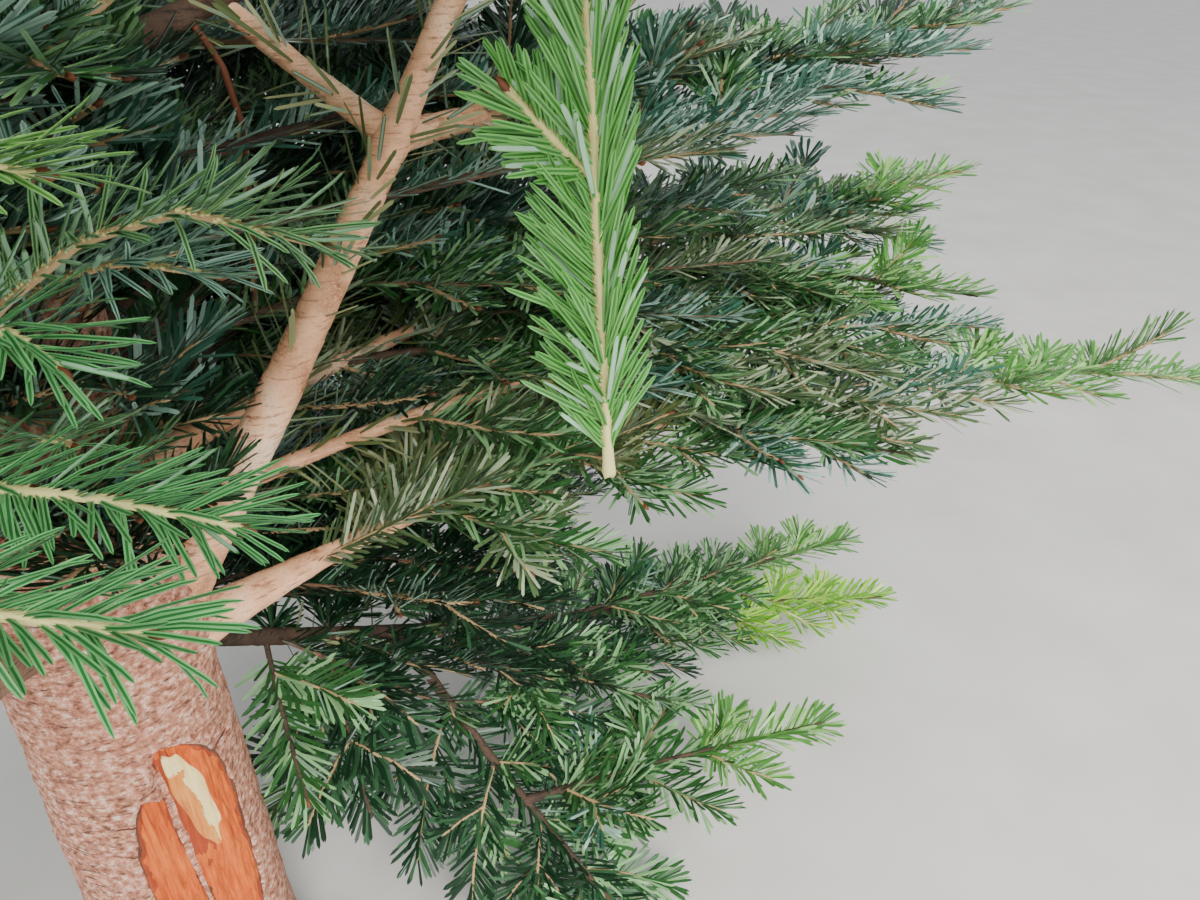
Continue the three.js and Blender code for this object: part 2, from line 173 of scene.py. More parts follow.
# Side boughs that the low boughs carry
SIDE_LIMBS = limb_table(("name", "parent", "at"), [
    ("side_behind", "behind", 395, 4, -8, -9, 2, 268, 6, 10, 70, 40),
    ("side_behind_low", "behind", 150, 28, -6, -3, 0, 420, 6, 40, 85, 40),
    ("side_behind_end", "behind", 540, -16, 4, -12, 0, 120, 4, 8, 44, 30),
    ("side_mid", "mid_right", 190, 42, -12, 3, -4, 330, 6, 30, 80, 40),
    ("side_low", "low_right", 330, -14, 10, -8, 2, 140, 5, 12, 50, 40),
    ("side_fork", "fork_right", 200, 44, -14, -2, 4, 260, 6, 30, 90, 40),
    ("side_fork_low", "fork_right", 260, 8, -4, -9, 6, 190, 5, 20, 70, 40),
    ("ground_back", "drooping", 218, -129, 10, -33, 10, 150, 6, 12, 62, 30),
    ("shade_by_trunk", "drooping", 92, -66, 6, -30, 0, 108, 3, 6, 60, 30),
    ("shade_behind", "drooping", 150, -70, 8, -44, 8, 125, 3, 6, 64, 30),
    ("ground_long", "drooping", 400, 22, -4, 1, 4, 290, 6, 20, 60, 30),
    ("ground_mid", "drooping", 300, -26, 16, -22, 24, 190, 6, 20, 70, 30),
    ("ground_front", "ground_arm", 160, 13, -3, 9, -3, 236, 6, 20, 66, 30),
])

# Twigs that the trunk itself carries between its low boughs, all round it and on the side that shows
TRUNK_TWIGS = {"count": 70, "low": 330, "high": 690, "shortest": 60, "longest": 120}
FRONT_TWIGS = {
    "count": 30, "low": 402, "high": 618, "side": -54, "spread": 52, "shortest": 55, "longest": 85,
}
TRUNK_TWIG_THICK = 1.7
# Short boughs between the whorls, and the turn in degrees from each to the next up the trunk
SMALL_BOUGHS = {"count": 46, "low": 640, "high": 1800, "longest": 330, "shortest": 60}
GOLDEN_TURN = 137.5

# The place that the photograph was taken from, its tilt in degrees, its lens and its frame
EYE = np.array([247.0, -340.0, 640.0])
EYE_TILT = 60
EYE_LENS = 27
EYE_SENSOR = 36
FRAME_WIDTH = 1200
FRAME_HEIGHT = 900

# How far outside the frame a shoot still counts as seen, and how close to the lens points are left out
FRAME_MARGIN = 90
NEAREST = 20

# How far the end of a bough is sunk in the trunk, and that of a twig
BOUGH_SUNK = 8
TWIG_SUNK = 2


# Small tools


def unit(v):
    return v / np.maximum(np.linalg.norm(v, axis=-1, keepdims=True), 1e-9)


def direction(heading, lift):
    h = math.radians(heading)
    e = math.radians(lift)
    return np.array([math.cos(e) * math.cos(h), math.cos(e) * math.sin(h), math.sin(e)])


def chance(seed):
    return (math.sin(seed * 12.9898 + 4.1414) * 43758.5453) % 1.0


def ease(x):
    x = np.clip(x, 0, 1)
    return x * x * (3 - 2 * x)


def noise(points, cell, seed):
    """Smooth values from -1 to 1 on a lattice, with a cell size for each axis."""
    p = points / np.asarray(cell, float)
    base = np.floor(p).astype(np.int64)
    f = ease(p - base)
    total = np.zeros(len(p))
    for corner in range(8):
        offset = np.array([corner & 1, corner >> 1 & 1, corner >> 2 & 1])
        c = base + offset
        h = (c[:, 0] * 73856093) ^ (c[:, 1] * 19349663) ^ (c[:, 2] * 83492791) ^ (seed * 2654435)
        h = ((h ^ (h >> 13)) * 1274126177) & 0x7FFFFFFF
        h = (h ^ (h >> 11)) & 0xFFFF
        weight = np.prod(np.where(offset, f, 1 - f), axis=1)
        total += weight * (h / 32767.5 - 1)
    return total


def relief(points, layers, seed):
    """Layers of smooth unevenness, each with a height and a cell size."""
    return sum(high * noise(points, cell, seed + k) for k, (high, cell) in enumerate(layers))


class Path:
    """A line through points, with a direction, a side and a back at any distance along it."""

    def __init__(self, points, up=UP):
        self.points = np.asarray(points, float)
        steps = np.linalg.norm(np.diff(self.points, axis=0), axis=1)
        self.marks = np.concatenate([[0], np.cumsum(steps)])
        self.length = self.marks[-1]
        self.tangents = unit(np.gradient(self.points, axis=0))
        self.up = np.asarray(up, float)

    def spread(self, values, distance):
        return np.stack([np.interp(distance, self.marks, values[:, k]) for k in range(3)], -1)

    def at(self, distance):
        distance = np.asarray(distance, float)
        point = self.spread(self.points, distance)
        forward = unit(self.spread(self.tangents, distance))
        across = unit(np.cross(forward, self.up))
        over = np.cross(across, forward)
        return point, forward, across, over

    def part(self, start, end, step):
        count = max(3, int(round((end - start) / step)) + 1)
        return Path(self.spread(self.points, np.linspace(start, end, count)), self.up)


def seen_at(points):
    """Where points fall in the photograph's frame, and how far away they are."""
    s = points[:, 0] - EYE[0]
    f = points[:, 1] - EYE[1]
    d = EYE[2] - points[:, 2]
    tilt = math.radians(90 - EYE_TILT)
    away = math.cos(tilt) * f + math.sin(tilt) * d
    down = math.cos(tilt) * d - math.sin(tilt) * f
    scale = FRAME_WIDTH * EYE_LENS / EYE_SENSOR / np.where(away > NEAREST, away, np.inf)
    return FRAME_WIDTH / 2 + s * scale, FRAME_HEIGHT / 2 + down * scale, away


# Trunk and bough lines, as in the CAD model


def trunk_centre(z):
    z = np.asarray(z, float)
    bend = TRUNK["sway"] * np.sin(z / TRUNK["sway_length"]) * (z / TREE_TOP) ** 2
    return np.stack([bend, -0.6 * bend, z], -1)


def trunk_radius(z):
    z = np.asarray(z, float)
    flare = TRUNK["flare"] * np.exp(-(z - BUTT) / TRUNK["flare_height"])
    return TRUNK["tip"] + TRUNK["girth"] * np.maximum(0, 1 - z / TREE_TOP) ** TRUNK["taper"] + flare


def on_trunk(z, side, sunk):
    return trunk_centre(z) + direction(side, 0) * (trunk_radius(z) - sunk)


def bough_path(bough, start):
    steps = 24
    points = [np.asarray(start, float)]
    for i in range(steps):
        along = (i + 0.5) / steps
        heading = bough["heading"] + bough["turn"] * along
        step = direction(heading, bough["lift"] + bough["rise"] * along ** bough["bend"])
        points.append(points[-1] + step * bough["length"] / steps)
    return Path(points)


def trunk_start(bough):
    return on_trunk(bough["z"], bough["side"], BOUGH_SUNK)


# The collar of a bough at the trunk, as a share of its thickness, and how far it and a slim root reach
COLLAR = 0.3
COLLAR_REACH = 22
SLIM_REACH = 110
# The radius of a bough's end, and the least where its foliage starts
END_RADIUS = 1.4
LEAST_RADIUS = 1.6


def shown_radius(bough, swellings=()):
    """The radius of a bough's bark at a distance, on through its mass of foliage."""
    bare = bough["bare"]

    def solid(distance):
        collar = COLLAR * np.exp(-distance / COLLAR_REACH)
        slim = 1 - (1 - bough["slim"]) * ease(distance / SLIM_REACH)
        return 0.5 * bough["thick"] * (1 - bough["loss"] * distance / bough["length"] + collar) * slim

    def radius(distance):
        distance = np.asarray(distance, float)
        inside = np.clip((distance - bare) / (bough["length"] - bare), 0, 1)
        root = max(LEAST_RADIUS, float(solid(bare)))
        result = np.where(distance < bare, solid(distance), root + (END_RADIUS - root) * inside)
        for place, height, spread in swellings:
            result = result + height * np.exp(-(((distance - place) / spread) ** 2))
        return result

    return radius


def whorl_boughs(whorl):
    """One bough for each side of a whorl, no two quite alike."""
    boughs = []
    for i, side in enumerate(whorl["sides"]):
        luck = [chance(whorl["z"] + i + 40 * k) for k in range(4)]
        boughs.append({
            **whorl,
            "name": f"{whorl['name']}_{i + 1}",
            "side": side,
            "z": whorl["z"] + 26 * (luck[0] - 0.5),
            "heading": side,
            "turn": 16 * (luck[1] - 0.5),
            "lift": whorl["lift"] + 7 * (luck[2] - 0.5),
            "length": whorl["length"] * (0.93 + 0.14 * luck[3]),
        })
    return boughs


# Growth

# Colours of the needles, each a plain colour dealt out by spray
DEEP, GREEN, BLUE, GREY, OLIVE, BRIGHT, VIVID, FRESH, LIME = range(9)
LOWEST_SHOOT = 6
shoots = []
limbs = {}


class Shoot:
    """One year's growth with its needles.

    Bare is its length without needles, lean and skew turn its needles forward and to one side, and
    turned is the share of them that shows its underside. A named shoot is placed on purpose, so it may
    cross the clear parts of the photograph.
    """

    def __init__(self, path, thick, tone, bare=2.0, tip=1.1, dense=1.0, long=1.0, close=False,
                 named=False, radial=False, twig=True, lean=0.0, skew=0.0, turned=0.03, bark=None):
        self.path = path
        self.thick = thick
        self.tip = tip
        self.tone = tone
        self.bare = bare
        self.dense = dense
        self.long = long
        self.close = close
        self.named = named
        self.radial = radial
        self.twig = twig
        self.lean = lean
        self.skew = skew
        self.turned = turned
        self.bark = bark
        px, py, away = seen_at(path.points)
        inside = (px > -FRAME_MARGIN) & (px < FRAME_WIDTH + FRAME_MARGIN)
        inside &= (py > -FRAME_MARGIN) & (py < FRAME_HEIGHT + FRAME_MARGIN) & (away > 1.5 * NEAREST)
        self.near = float(away[inside].min()) if inside.any() else math.inf
        self.px = px
        self.py = py
        self.away = away


# Parts of the photograph's frame, as left, top, right and bottom in pixels, that no unnamed shoot
# crosses nearer to the eye than the last number
CLEAR = [
    (230, -60, 1260, 960, 400),
    (-60, -60, 150, 120, 235),
    (-60, 120, 230, 600, 285),
    (150, -60, 230, 120, 285),
    (-150, 600, 300, 960, 560),
    (205, 240, 360, 560, 470),
    (330, -20, 460, 330, 455),
    (190, -20, 400, 160, 440),
    (112, 352, 266, 472, 488),
    (330, 430, 600, 520, 500),
    (600, 430, 1260, 960, 430),
]


def in_the_way(shoot):
    for left, top, right, bottom, nearer in CLEAR:
        hit = (shoot.px > left) & (shoot.px < right) & (shoot.py > top) & (shoot.py < bottom)
        if (hit & (shoot.away > NEAREST) & (shoot.away < nearer)).any():
            return True
    return False


def add_shoot(shoot):
    low = shoot.path.points[:, 2].min() < LOWEST_SHOOT
    if low or (not shoot.named and in_the_way(shoot)):
        return False
    shoots.append(shoot)
    return True


def side_path(path, distance, side, length, angle, closing, pitch, sag, flick=9):
    """A shoot that leaves a path sideways and slowly turns to run along with it."""
    point, forward, across, over = path.at(distance)
    count = max(3, int(length / 16) + 1)
    q = (np.arange(count) + 0.5) / count
    turn = np.radians(angle - closing * q)
    lift = np.radians(pitch - sag * q + flick * q ** 3)
    steps = (
        (np.cos(lift) * np.cos(turn))[:, None] * forward
        + (np.cos(lift) * np.sin(turn) * side)[:, None] * across
        + np.sin(lift)[:, None] * over
    )
    points = np.vstack([point, point + np.cumsum(steps, axis=0) * length / count])
    return Path(points, over)


def twig_thickness(length):
    return 1.1 + 0.0055 * length


# How side shoots follow each other: how far apart, their length as a share of what is left, and the
# longest of them
FAN_HABIT = (52, 0.62, 118)
FORK_HABIT = (52, 0.62, 55)
SMALL_HABIT = (45, 0.6, 60)
TWIG_HABIT = (34, 0.7, 62)
CLOSE_HABIT = (26, 0.8, 46)
SHORTEST = 26
LONG_ENOUGH_TO_FORK = 72
# The share of side shoots that failed to grow, and of those that keep the colour of what carries them
MISSING = 0.08
KEEPS_TONE = 0.62
# The end of a shoot that carries no others, and the share of a side shoot or fork before its first
SMOOTH_END = 30
FIRST_PAIR = 0.4
FIRST_FORK = 0.45
# Side shoots of the fans: the end without any, the shares that are missing and that keep the colour
# of their pair, the shortest, and how far along the outline a tip is looked up at most
FAN = {"smooth_end": 42, "missing": 0.05, "keeps_tone": 0.7, "shortest": 34, "widest_tip": 0.93}
# Old shoots on the bare part of a bough
OLD = {"first": 100, "smooth_end": 12, "missing": 0.25, "shortest": 55, "longest": 125, "spacing": 44}


def branch_out(path, order, tone, rng, first, habit, tones, **looks):
    """Side shoots in pairs at the ends of past years' growth, and theirs in turn."""
    spacing, ratio, longest = habit
    node = first
    while node < path.length - SMOOTH_END:
        for side in (-1, 1):
            if rng.random() < MISSING:
                continue
            left = path.length - node
            length = min(longest, ratio * left * rng.uniform(0.75, 1.15))
            if length < SHORTEST:
                continue
            line = side_path(path, node, side, length, rng.uniform(44, 56), closing=14,
                             pitch=rng.normal(2, 7), sag=rng.uniform(0, 8))
            own = tone if rng.random() < KEEPS_TONE else pick(tones, rng)
            grown = add_shoot(Shoot(line, twig_thickness(length), own, **looks))
            if grown and order > 1 and length > LONG_ENOUGH_TO_FORK:
                branch_out(line, order - 1, own, rng, length * FIRST_FORK, FORK_HABIT, tones, **looks)
        node += spacing * rng.uniform(0.85, 1.15)


def pick(tones, rng):
    names = list(tones)
    weights = np.array([tones[n] for n in names], float)
    return names[rng.choice(len(names), p=weights / weights.sum())]


def fan_half_width(bough, along):
    along = min(max(along, 0.0), 1.0)
    share = 0.13 + 0.87 * math.sin(math.pi * along ** bough["widest"])
    return bough["width"] * share * (1 - bough["tapering"] * along)


def grow_inner_shoots(bough, path, rng, tones):
    """Short older shoots along the bare part of a bough, and the needles that it still carries."""
    node = OLD["first"]
    while node < bough["bare"] - OLD["smooth_end"]:
        for side in (-1, 1):
            if rng.random() < OLD["missing"]:
                continue
            length = rng.uniform(OLD["shortest"], OLD["longest"])
            line = side_path(path, node, side, length, rng.uniform(44, 60), closing=16,
                             pitch=rng.normal(-3, 9), sag=8)
            tone = pick(tones, rng)
            if add_shoot(Shoot(line, twig_thickness(length), tone)):
                branch_out(line, 1, tone, rng, length * FIRST_PAIR, SMALL_HABIT, tones)
        node += OLD["spacing"] * rng.uniform(0.8, 1.2)


def grow_fan(bough, path, seed, tones, tip_tone=None, step=92, order=2, rising=0.0):
    """Side shoots along a bough, out to the outline of its mass of foliage."""
    rng = np.random.default_rng(seed)
    start = max(12, bough["bare"])
    leafy = path.part(start - 4, path.length, 18)
    tip_radius = 1.5
    root_radius = float(shown_radius(bough)(start))
    split = leafy.length - (bough["fresh"] if tip_tone is not None else 0)
    shoots.append(Shoot(leafy.part(0, split, 18), root_radius, pick(tones, rng), bare=8, tip=tip_radius,
                        twig=False, named=True, dense=0.8))
    if tip_tone is not None:
        shoots.append(Shoot(leafy.part(split, leafy.length, 12), tip_radius, tip_tone, bare=0,
                            twig=False, named=True))
    node = start + rng.uniform(4, 22)
    while node < path.length - FAN["smooth_end"]:
        along = (node - start) / (path.length - start)
        year = pick(tones, rng)
        for side in (-1, 1):
            if rng.random() < FAN["missing"]:
                continue
            angle = rng.uniform(48, 58)
            reach = fan_half_width(bough, along) / math.sin(math.radians(angle))
            for _ in range(2):
                tip = along + reach * 0.7 / (path.length - start)
                reach = fan_half_width(bough, min(tip, FAN["widest_tip"]))
                reach /= math.sin(math.radians(angle - 7))
            length = min(reach * rng.uniform(0.8, 1.04), (path.length - node) * 0.95 + 18)
            if length < FAN["shortest"]:
                continue
            line = side_path(path, node, side, length, angle, closing=15, pitch=rng.normal(1, 4), sag=9)
            from_end = np.linalg.norm(line.points[-1] - path.points[-1])
            fresh = tip_tone is not None and from_end < bough["fresh"]
            own = tip_tone
            if not fresh:
                own = year if rng.random() < FAN["keeps_tone"] else pick(tones, rng)
            if add_shoot(Shoot(line, twig_thickness(length), own)):
                spread = {tip_tone: 1.0} if fresh else tones
                branch_out(line, order, own, rng, min(40, length * 0.35), FAN_HABIT, spread)
        if rng.random() < rising and along < 0.8:
            length = rng.uniform(0.7, 1.2) * bough["depth"]
            line = side_path(path, node, rng.choice((-1, 1)), length, rng.uniform(20, 55), closing=10,
                             pitch=rng.uniform(22, 50), sag=0)
            tone = pick(tones, rng)
            if tip_tone is not None and path.length - node < bough["fresh"]:
                tone = tip_tone
            if add_shoot(Shoot(line, twig_thickness(length), tone)):
                branch_out(line, 1, year, rng, length * FIRST_PAIR, SMALL_HABIT, tones)
        node += step * rng.uniform(0.8, 1.15) * (1 - 0.3 * along)


# How many of the shoots of a bough have each colour, and the colour of its youngest end
OLD_TONES = {GREY: 5, OLIVE: 2, GREEN: 4}
# Mostly the deep colour: painted shade for shoots low down under the boughs
SHADED_TONES = {DEEP: 8, GREEN: 1}
OUTER_TONES = {GREY: 2, GREEN: 4, BLUE: 3}
TONES = {
    "low_right": {GREEN: 5, GREY: 3, BLUE: 2},
    "mid_right": {GREEN: 4, GREY: 4, BLUE: 1},
    "behind": {GREEN: 3, GREY: 4, BLUE: 2},
    "drooping": {DEEP: 6, GREEN: 3},
    "ground_arm": {DEEP: 5, GREEN: 4},
    "steep": {GREEN: 3, BLUE: 3, GREY: 2, DEEP: 1},
    "fork_right": {GREEN: 3, BLUE: 5, DEEP: 3},
    "fork_left": {BLUE: 3, GREEN: 3, DEEP: 2},
    "upper_left": {DEEP: 4, GREEN: 3, BLUE: 3},
}
# More of the deep colour than elsewhere: painted shade for shoots inside the crown
INNER_SHADE_TONES = {DEEP: 5, GREEN: 3, BLUE: 3}
CROWN_TONES = {DEEP: 3, GREEN: 5, BLUE: 3, GREY: 1}
GROUND_TONES = {DEEP: 3, GREEN: 6, BLUE: 1}
TIP_TONES = {"low_right": BRIGHT, "drooping": LIME, "behind": BRIGHT, "side_behind": BRIGHT,
             "ground_long": BRIGHT, "ground_front": BRIGHT}
# The boughs that the photograph looks at
HERO = {
    "low_right", "mid_right", "behind", "drooping", "steep", "fork_right", "fork_left", "ground_arm",
}
# The first seed of each kind of limb
SEEDS = {
    "limb": 100, "old": 160, "filler": 220, "side": 260, "whorl": 300, "between": 340, "tier": 400,
    "small": 500, "top": 560,
}


def limb_start(bough):
    if "parent" in bough:
        return limbs[bough["parent"]][1].at(bough["at"])[0]
    return trunk_start(bough)


for bough in LOW_BOUGHS + FORK_BOUGHS + whorl_boughs(SECOND):
    limbs[bough["name"]] = (bough, bough_path(bough, limb_start(bough)))

for i, (name, (bough, path)) in enumerate(limbs.items()):
    high = name.startswith(("second", "west", "south", "north"))
    tones = TONES.get(name, CROWN_TONES)
    grow_fan(bough, path, SEEDS["limb"] + i, tones, TIP_TONES.get(name), rising=0.7 if high else 0.5,
             step=66 if name in HERO else 92)
    if name not in ("steep", "near_left", "fork_left"):
        old = SHADED_TONES if name == "drooping" else OLD_TONES
        grow_inner_shoots(bough, path, np.random.default_rng(SEEDS["old"] + i), old)

# The boughs that show still carry old needles on all sides, from a distance along each
OLD_NEEDLES = [
    ("steep", 60, 0.46), ("fork_left", 10, 0.4), ("fork_right", 20, 0.4), ("low_right", 110, 0.34),
    ("mid_right", 60, 0.34), ("behind", 90, 0.34), ("drooping", 120, 0.2),
]
for name, start, dense in OLD_NEEDLES:
    bough, path = limbs[name]
    bare = bough["bare"]
    radius = shown_radius(bough)
    shoots.append(Shoot(path.part(start, bare, 12), float(radius(start)), OLIVE, bare=0,
                        tip=float(radius(bare)), dense=dense, long=1.12, radial=True, twig=False,
                        named=True, lean=12, turned=0.2))

inner_boughs = []


def grow_inner(bough, seed, rising, step=92, tones=CROWN_TONES, tip_tone=None):
    path = bough_path(bough, limb_start(bough))
    inner_boughs.append((bough, path))
    grow_fan(bough, path, seed, tones, tip_tone, rising=rising, step=step)


# Fillers below this height get the painted-shade colours, and those at a side of this or more the
# darker inner ones
LOW_SHADE = 345
OUTER_SIDE = 60
for i, bough in enumerate(FILLERS):
    tones = OUTER_TONES if bough["side"] < OUTER_SIDE else INNER_SHADE_TONES
    if bough["z"] < LOW_SHADE:
        tones = SHADED_TONES
    grow_inner(bough, SEEDS["filler"] + i, 0.5, step=70, tones=tones)
for i, bough in enumerate(SIDE_LIMBS):
    tones = GROUND_TONES if bough["name"].startswith("ground") else TONES[bough["parent"]]
    if bough["name"].startswith("shade"):
        tones = SHADED_TONES
    tip_tone = TIP_TONES.get(bough["name"])
    grow_inner(bough, SEEDS["side"] + i, 0.4, step=58, tones=tones, tip_tone=tip_tone)


def trunk_twig(sizes, i, side, aside, turning, lift, rise, rng):
    z = np.interp(i, [0, sizes["count"]], [sizes["low"], sizes["high"]])
    twig = limb(heading=side + aside, turn=turning * aside, lift=lift, rise=rise,
                length=rng.uniform(sizes["shortest"], sizes["longest"]))
    return bough_path(twig, on_trunk(z, side, TWIG_SUNK))


rng = np.random.default_rng(5)
for i in range(TRUNK_TWIGS["count"]):
    aside = (-1) ** i * rng.uniform(40, 95)
    line = trunk_twig(TRUNK_TWIGS, i, GOLDEN_TURN * i, aside, 0.3, rng.uniform(-15, 50), -16, rng)
    tone = pick(INNER_SHADE_TONES, rng)
    if add_shoot(Shoot(line, TRUNK_TWIG_THICK, tone)):
        branch_out(line, 1, tone, rng, 24, TWIG_HABIT, INNER_SHADE_TONES)

for i in range(FRONT_TWIGS["count"]):
    side = FRONT_TWIGS["side"] + FRONT_TWIGS["spread"] * math.sin(2.4 * i)
    aside = (-1) ** i * rng.uniform(50, 80)
    line = trunk_twig(FRONT_TWIGS, i, side, aside, 0.4, rng.uniform(5, 45), -10, rng)
    tone = pick(INNER_SHADE_TONES, rng)
    shoots.append(Shoot(line, TRUNK_TWIG_THICK, tone, named=True))
    branch_out(line, 1, tone, rng, 18, CLOSE_HABIT, INNER_SHADE_TONES, named=True)

# The hidden whorls, with a smaller bough between each two
SMALLER = {"length": 0.62, "thick": 0.62, "width": 0.6}
ASIDE = {"z": 62, "side": 34, "heading": 34, "lift": 4}
for i, bough in enumerate(b for whorl in HIDDEN_WHORLS for b in whorl_boughs(whorl)):
    bough["bare"] = 40
    grow_inner(bough, SEEDS["whorl"] + i, 0.8)
    between = {**bough, **{key: bough[key] * share for key, share in SMALLER.items()},
               **{key: bough[key] + more for key, more in ASIDE.items()}}
    grow_inner(between, SEEDS["between"] + i, 0.5)


def tier_boughs(tier):
    """One bough for each lobe of a tier, and a shorter one between each two lobes."""
    result = []
    count = 2 * TIER_LOBES
    for i in range(count):
        full = i % 2 == 0
        share = 1.0 if full else 0.7
        side = tier["first"] + 360 * i / count
        reach = tier["reach"] * share * (0.93 + 0.08 * chance(tier["z"] + i))
        lift = tier["lift"] * (1.0 if full else 1.12) + 4 * (chance(tier["z"] + i + 30) - 0.5)
        radius = float(trunk_radius(tier["z"]))
        length = (reach - radius + BOUGH_SUNK) / math.cos(math.radians(lift - 4))
        turn = 10 * (chance(tier["z"] + i + 60) - 0.5)
        result.append(limb(f"{tier['name']}_{i}", z=tier["z"] + (0 if full else 40), side=side,
                           heading=side, turn=turn, lift=lift + 3, rise=-12, length=length,
                           thick=tier["thick"] * share, bare=14, width=0.44 * tier["reach"] * share,
                           depth=0.7 * tier["depth"]))
    return result


for i, bough in enumerate(b for tier in TIERS for b in tier_boughs(tier)):
    grow_inner(bough, SEEDS["tier"] + i, 0.6, step=78)

rng = np.random.default_rng(7)
small = SMALL_BOUGHS
for i in range(small["count"]):
    z = small["low"] + (small["high"] - small["low"]) * (i + 0.5) / small["count"]
    side = GOLDEN_TURN * i + rng.uniform(-12, 12)
    length = (1 - z / TREE_TOP) * small["longest"] + small["shortest"]
    bough = limb(f"small_{i}", z=z, side=side, heading=side, lift=rng.uniform(18, 40), rise=-8,
                 length=length, thick=6, bare=12, width=0.34 * length, depth=40)
    grow_inner(bough, SEEDS["small"] + i, 0.2, step=80)

# The top whorl and the leader
for i in range(LEADER["lobes"] * 2):
    full = i % 2 == 0
    side = LEADER["first"] + 360 * i / (LEADER["lobes"] * 2)
    z = LEADER["z"] + (18 if full else 70)
    length = (LEADER["reach"] - 16) * (1.12 if full else 0.66)
    bough = limb(f"top_{i}", z=z, side=side, heading=side, turn=4, lift=38 if full else 46, rise=-6,
                 length=length, thick=6, bare=8, width=0.36 * length, depth=30)
    grow_inner(bough, SEEDS["top"] + i, 0.0, step=50)


def on_leader(z, height):
    return trunk_centre(z) * [1, 1, 0] + [0, 0, height]


LEADER_LOW = 1850
LEADER_END = 2138
leader_points = [on_leader(min(z, TREE_TOP), z) for z in np.linspace(LEADER_LOW, LEADER_END, 20)]
shoots.append(Shoot(Path(np.stack(leader_points), (0, -1, 0)), 4, GREEN, bare=6, tip=2.2, twig=False,
                    named=True, radial=True, dense=1.3))
LEADER_SHOOTS = (1925, 1968, 2010, 2050)
for i, z in enumerate(LEADER_SHOOTS):
    for k in range(3):
        side = 120 * k + 47 * i
        start = trunk_centre(z) + direction(side, 0) * 3
        steps = [direction(side, 52 + 3 * j) for j in range(5)]
        length = 54 - 9 * i
        points = np.vstack([start, start + np.cumsum(steps, axis=0) * length / 5])
        shoots.append(Shoot(Path(points), 1.5, GREEN, named=True, radial=True))
for k in range(5):
    side = 72 * k + 20
    start = on_leader(2112, 2110)
    points = np.vstack([start + direction(side, 40) * d for d in (0, 8, 16, 24)])
    shoots.append(Shoot(Path(points), 1.6, GREEN, named=True, radial=True))

# Sprays close to the camera: the points that each passes, from what carries it, its thickness, its
# colour, and the share of its needles that show their underside
NEAR_SPRAYS = [
    ([(41, -168, 509), (60, -178, 510), (100, -181, 506), (143, -181, 499)], 1.9, FRESH, 0.06),
    ([(24, -110, 496), (60, -115, 498), (100, -118, 495), (141, -121, 487)], 1.8, FRESH, 0.06),
    ([(38, -158, 508), (30, -156, 545), (34, -147, 585), (52, -134, 602), (76, -135, 598),
      (100, -136, 595), (122, -136, 593)], 1.6, BRIGHT, 0.1),
    ([(18, -85, 490), (40, -83, 515), (63, -79, 540), (91, -75, 559), (125, -78, 569), (165, -81, 560)],
     2.0, GREEN, 0.3),
    ([(34, -144, 505), (58, -134, 530), (84, -122, 548), (94, -124, 551), (109, -131, 543)],
     1.5, FRESH, 0.1),
    ([(34, -20, 590), (54, -30, 597), (72, -24, 609), (89, -16, 621), (112, -6, 640)], 2.0, BLUE, 0.4),
    ([(38, 2, 570), (48, 0, 576), (60, -3, 582), (70, -6, 587)], 1.4, BLUE, 0.2),
    ([(30, -40, 470), (44, -55, 480), (58, -67, 486), (68, -74, 488)], 1.5, GREEN, 0.1),
    ([(34, -36, 520), (58, -44, 536), (88, -48, 544), (118, -50, 540)], 1.5, BLUE, 0.2),
]
for points, thick, tone, turned in NEAR_SPRAYS:
    shoots.append(Shoot(Path(points), thick, tone, bare=4, named=True, close=True, long=1.15,
                        dense=0.74, turned=turned, bark="tan" if tone in (BLUE, GREEN) else "green"))

# Old shoots that lie over the lowest bough near the trunk, by their distance along it
COVER_SHOOTS = (72, 104, 136, 166, 194, 222)
for i, at in enumerate(COVER_SHOOTS):
    line = side_path(limbs["low_right"][1], at, (-1) ** i, 105, 26, closing=12, pitch=16, sag=6,
                     flick=0)
    tone = (GREY, OLIVE, GREEN)[i % 3]
    shoots.append(Shoot(line, 1.7, tone, named=True, long=1.1))
    branch_out(line, 1, tone, rng, 40, SMALL_HABIT, OLD_TONES, named=True)

# A thin reddish twig that hangs from the bough above
HANGING_TWIG = [
    (59, 113, 606), (70, 114, 588), (76, 110, 560), (76, 102, 525), (74, 94, 492), (73, 90, 478),
]
shoots.append(Shoot(Path(HANGING_TWIG), 2.0, OLIVE, named=True, dense=0.3, long=0.4, radial=True,
                    bark="red"))

# The cut sprig that hangs by its shoots, cut end down
sprig_limb = limb("sprig", heading=SPRIG["heading"], lift=SPRIG["lift"], rise=0, length=SPRIG["length"])
sprig_line = bough_path(sprig_limb, SPRIG["cut"])
sprig_line.up = np.array([0.0, -0.9, 0.42])
shoots.append(Shoot(sprig_line.part(0, 170, 8), 1.5, VIVID, bare=9, tip=1.5, named=True, close=True,
                    long=1.08, dense=1.15, lean=-21, skew=12, turned=0.1, bark="green"))
for side, length, angle in ((-1, 78, 26), (1, 84, 30)):
    fork = side_path(sprig_line, 150, side, length, angle, closing=4, pitch=6, sag=0, flick=0)
    fork.up = sprig_line.up
    shoots.append(Shoot(fork, 1.6, VIVID, named=True, close=True, long=1.1, lean=-18, turned=0.12,
                        bark="amber"))
side_shoot = side_path(sprig_line, 96, -1, 34, 44, closing=6, pitch=8, sag=0, flick=0)
side_shoot.up = sprig_line.up
shoots.append(Shoot(side_shoot, 1.2, VIVID, named=True, close=True, long=0.8, lean=-6, turned=0.2,
                    bark="green"))
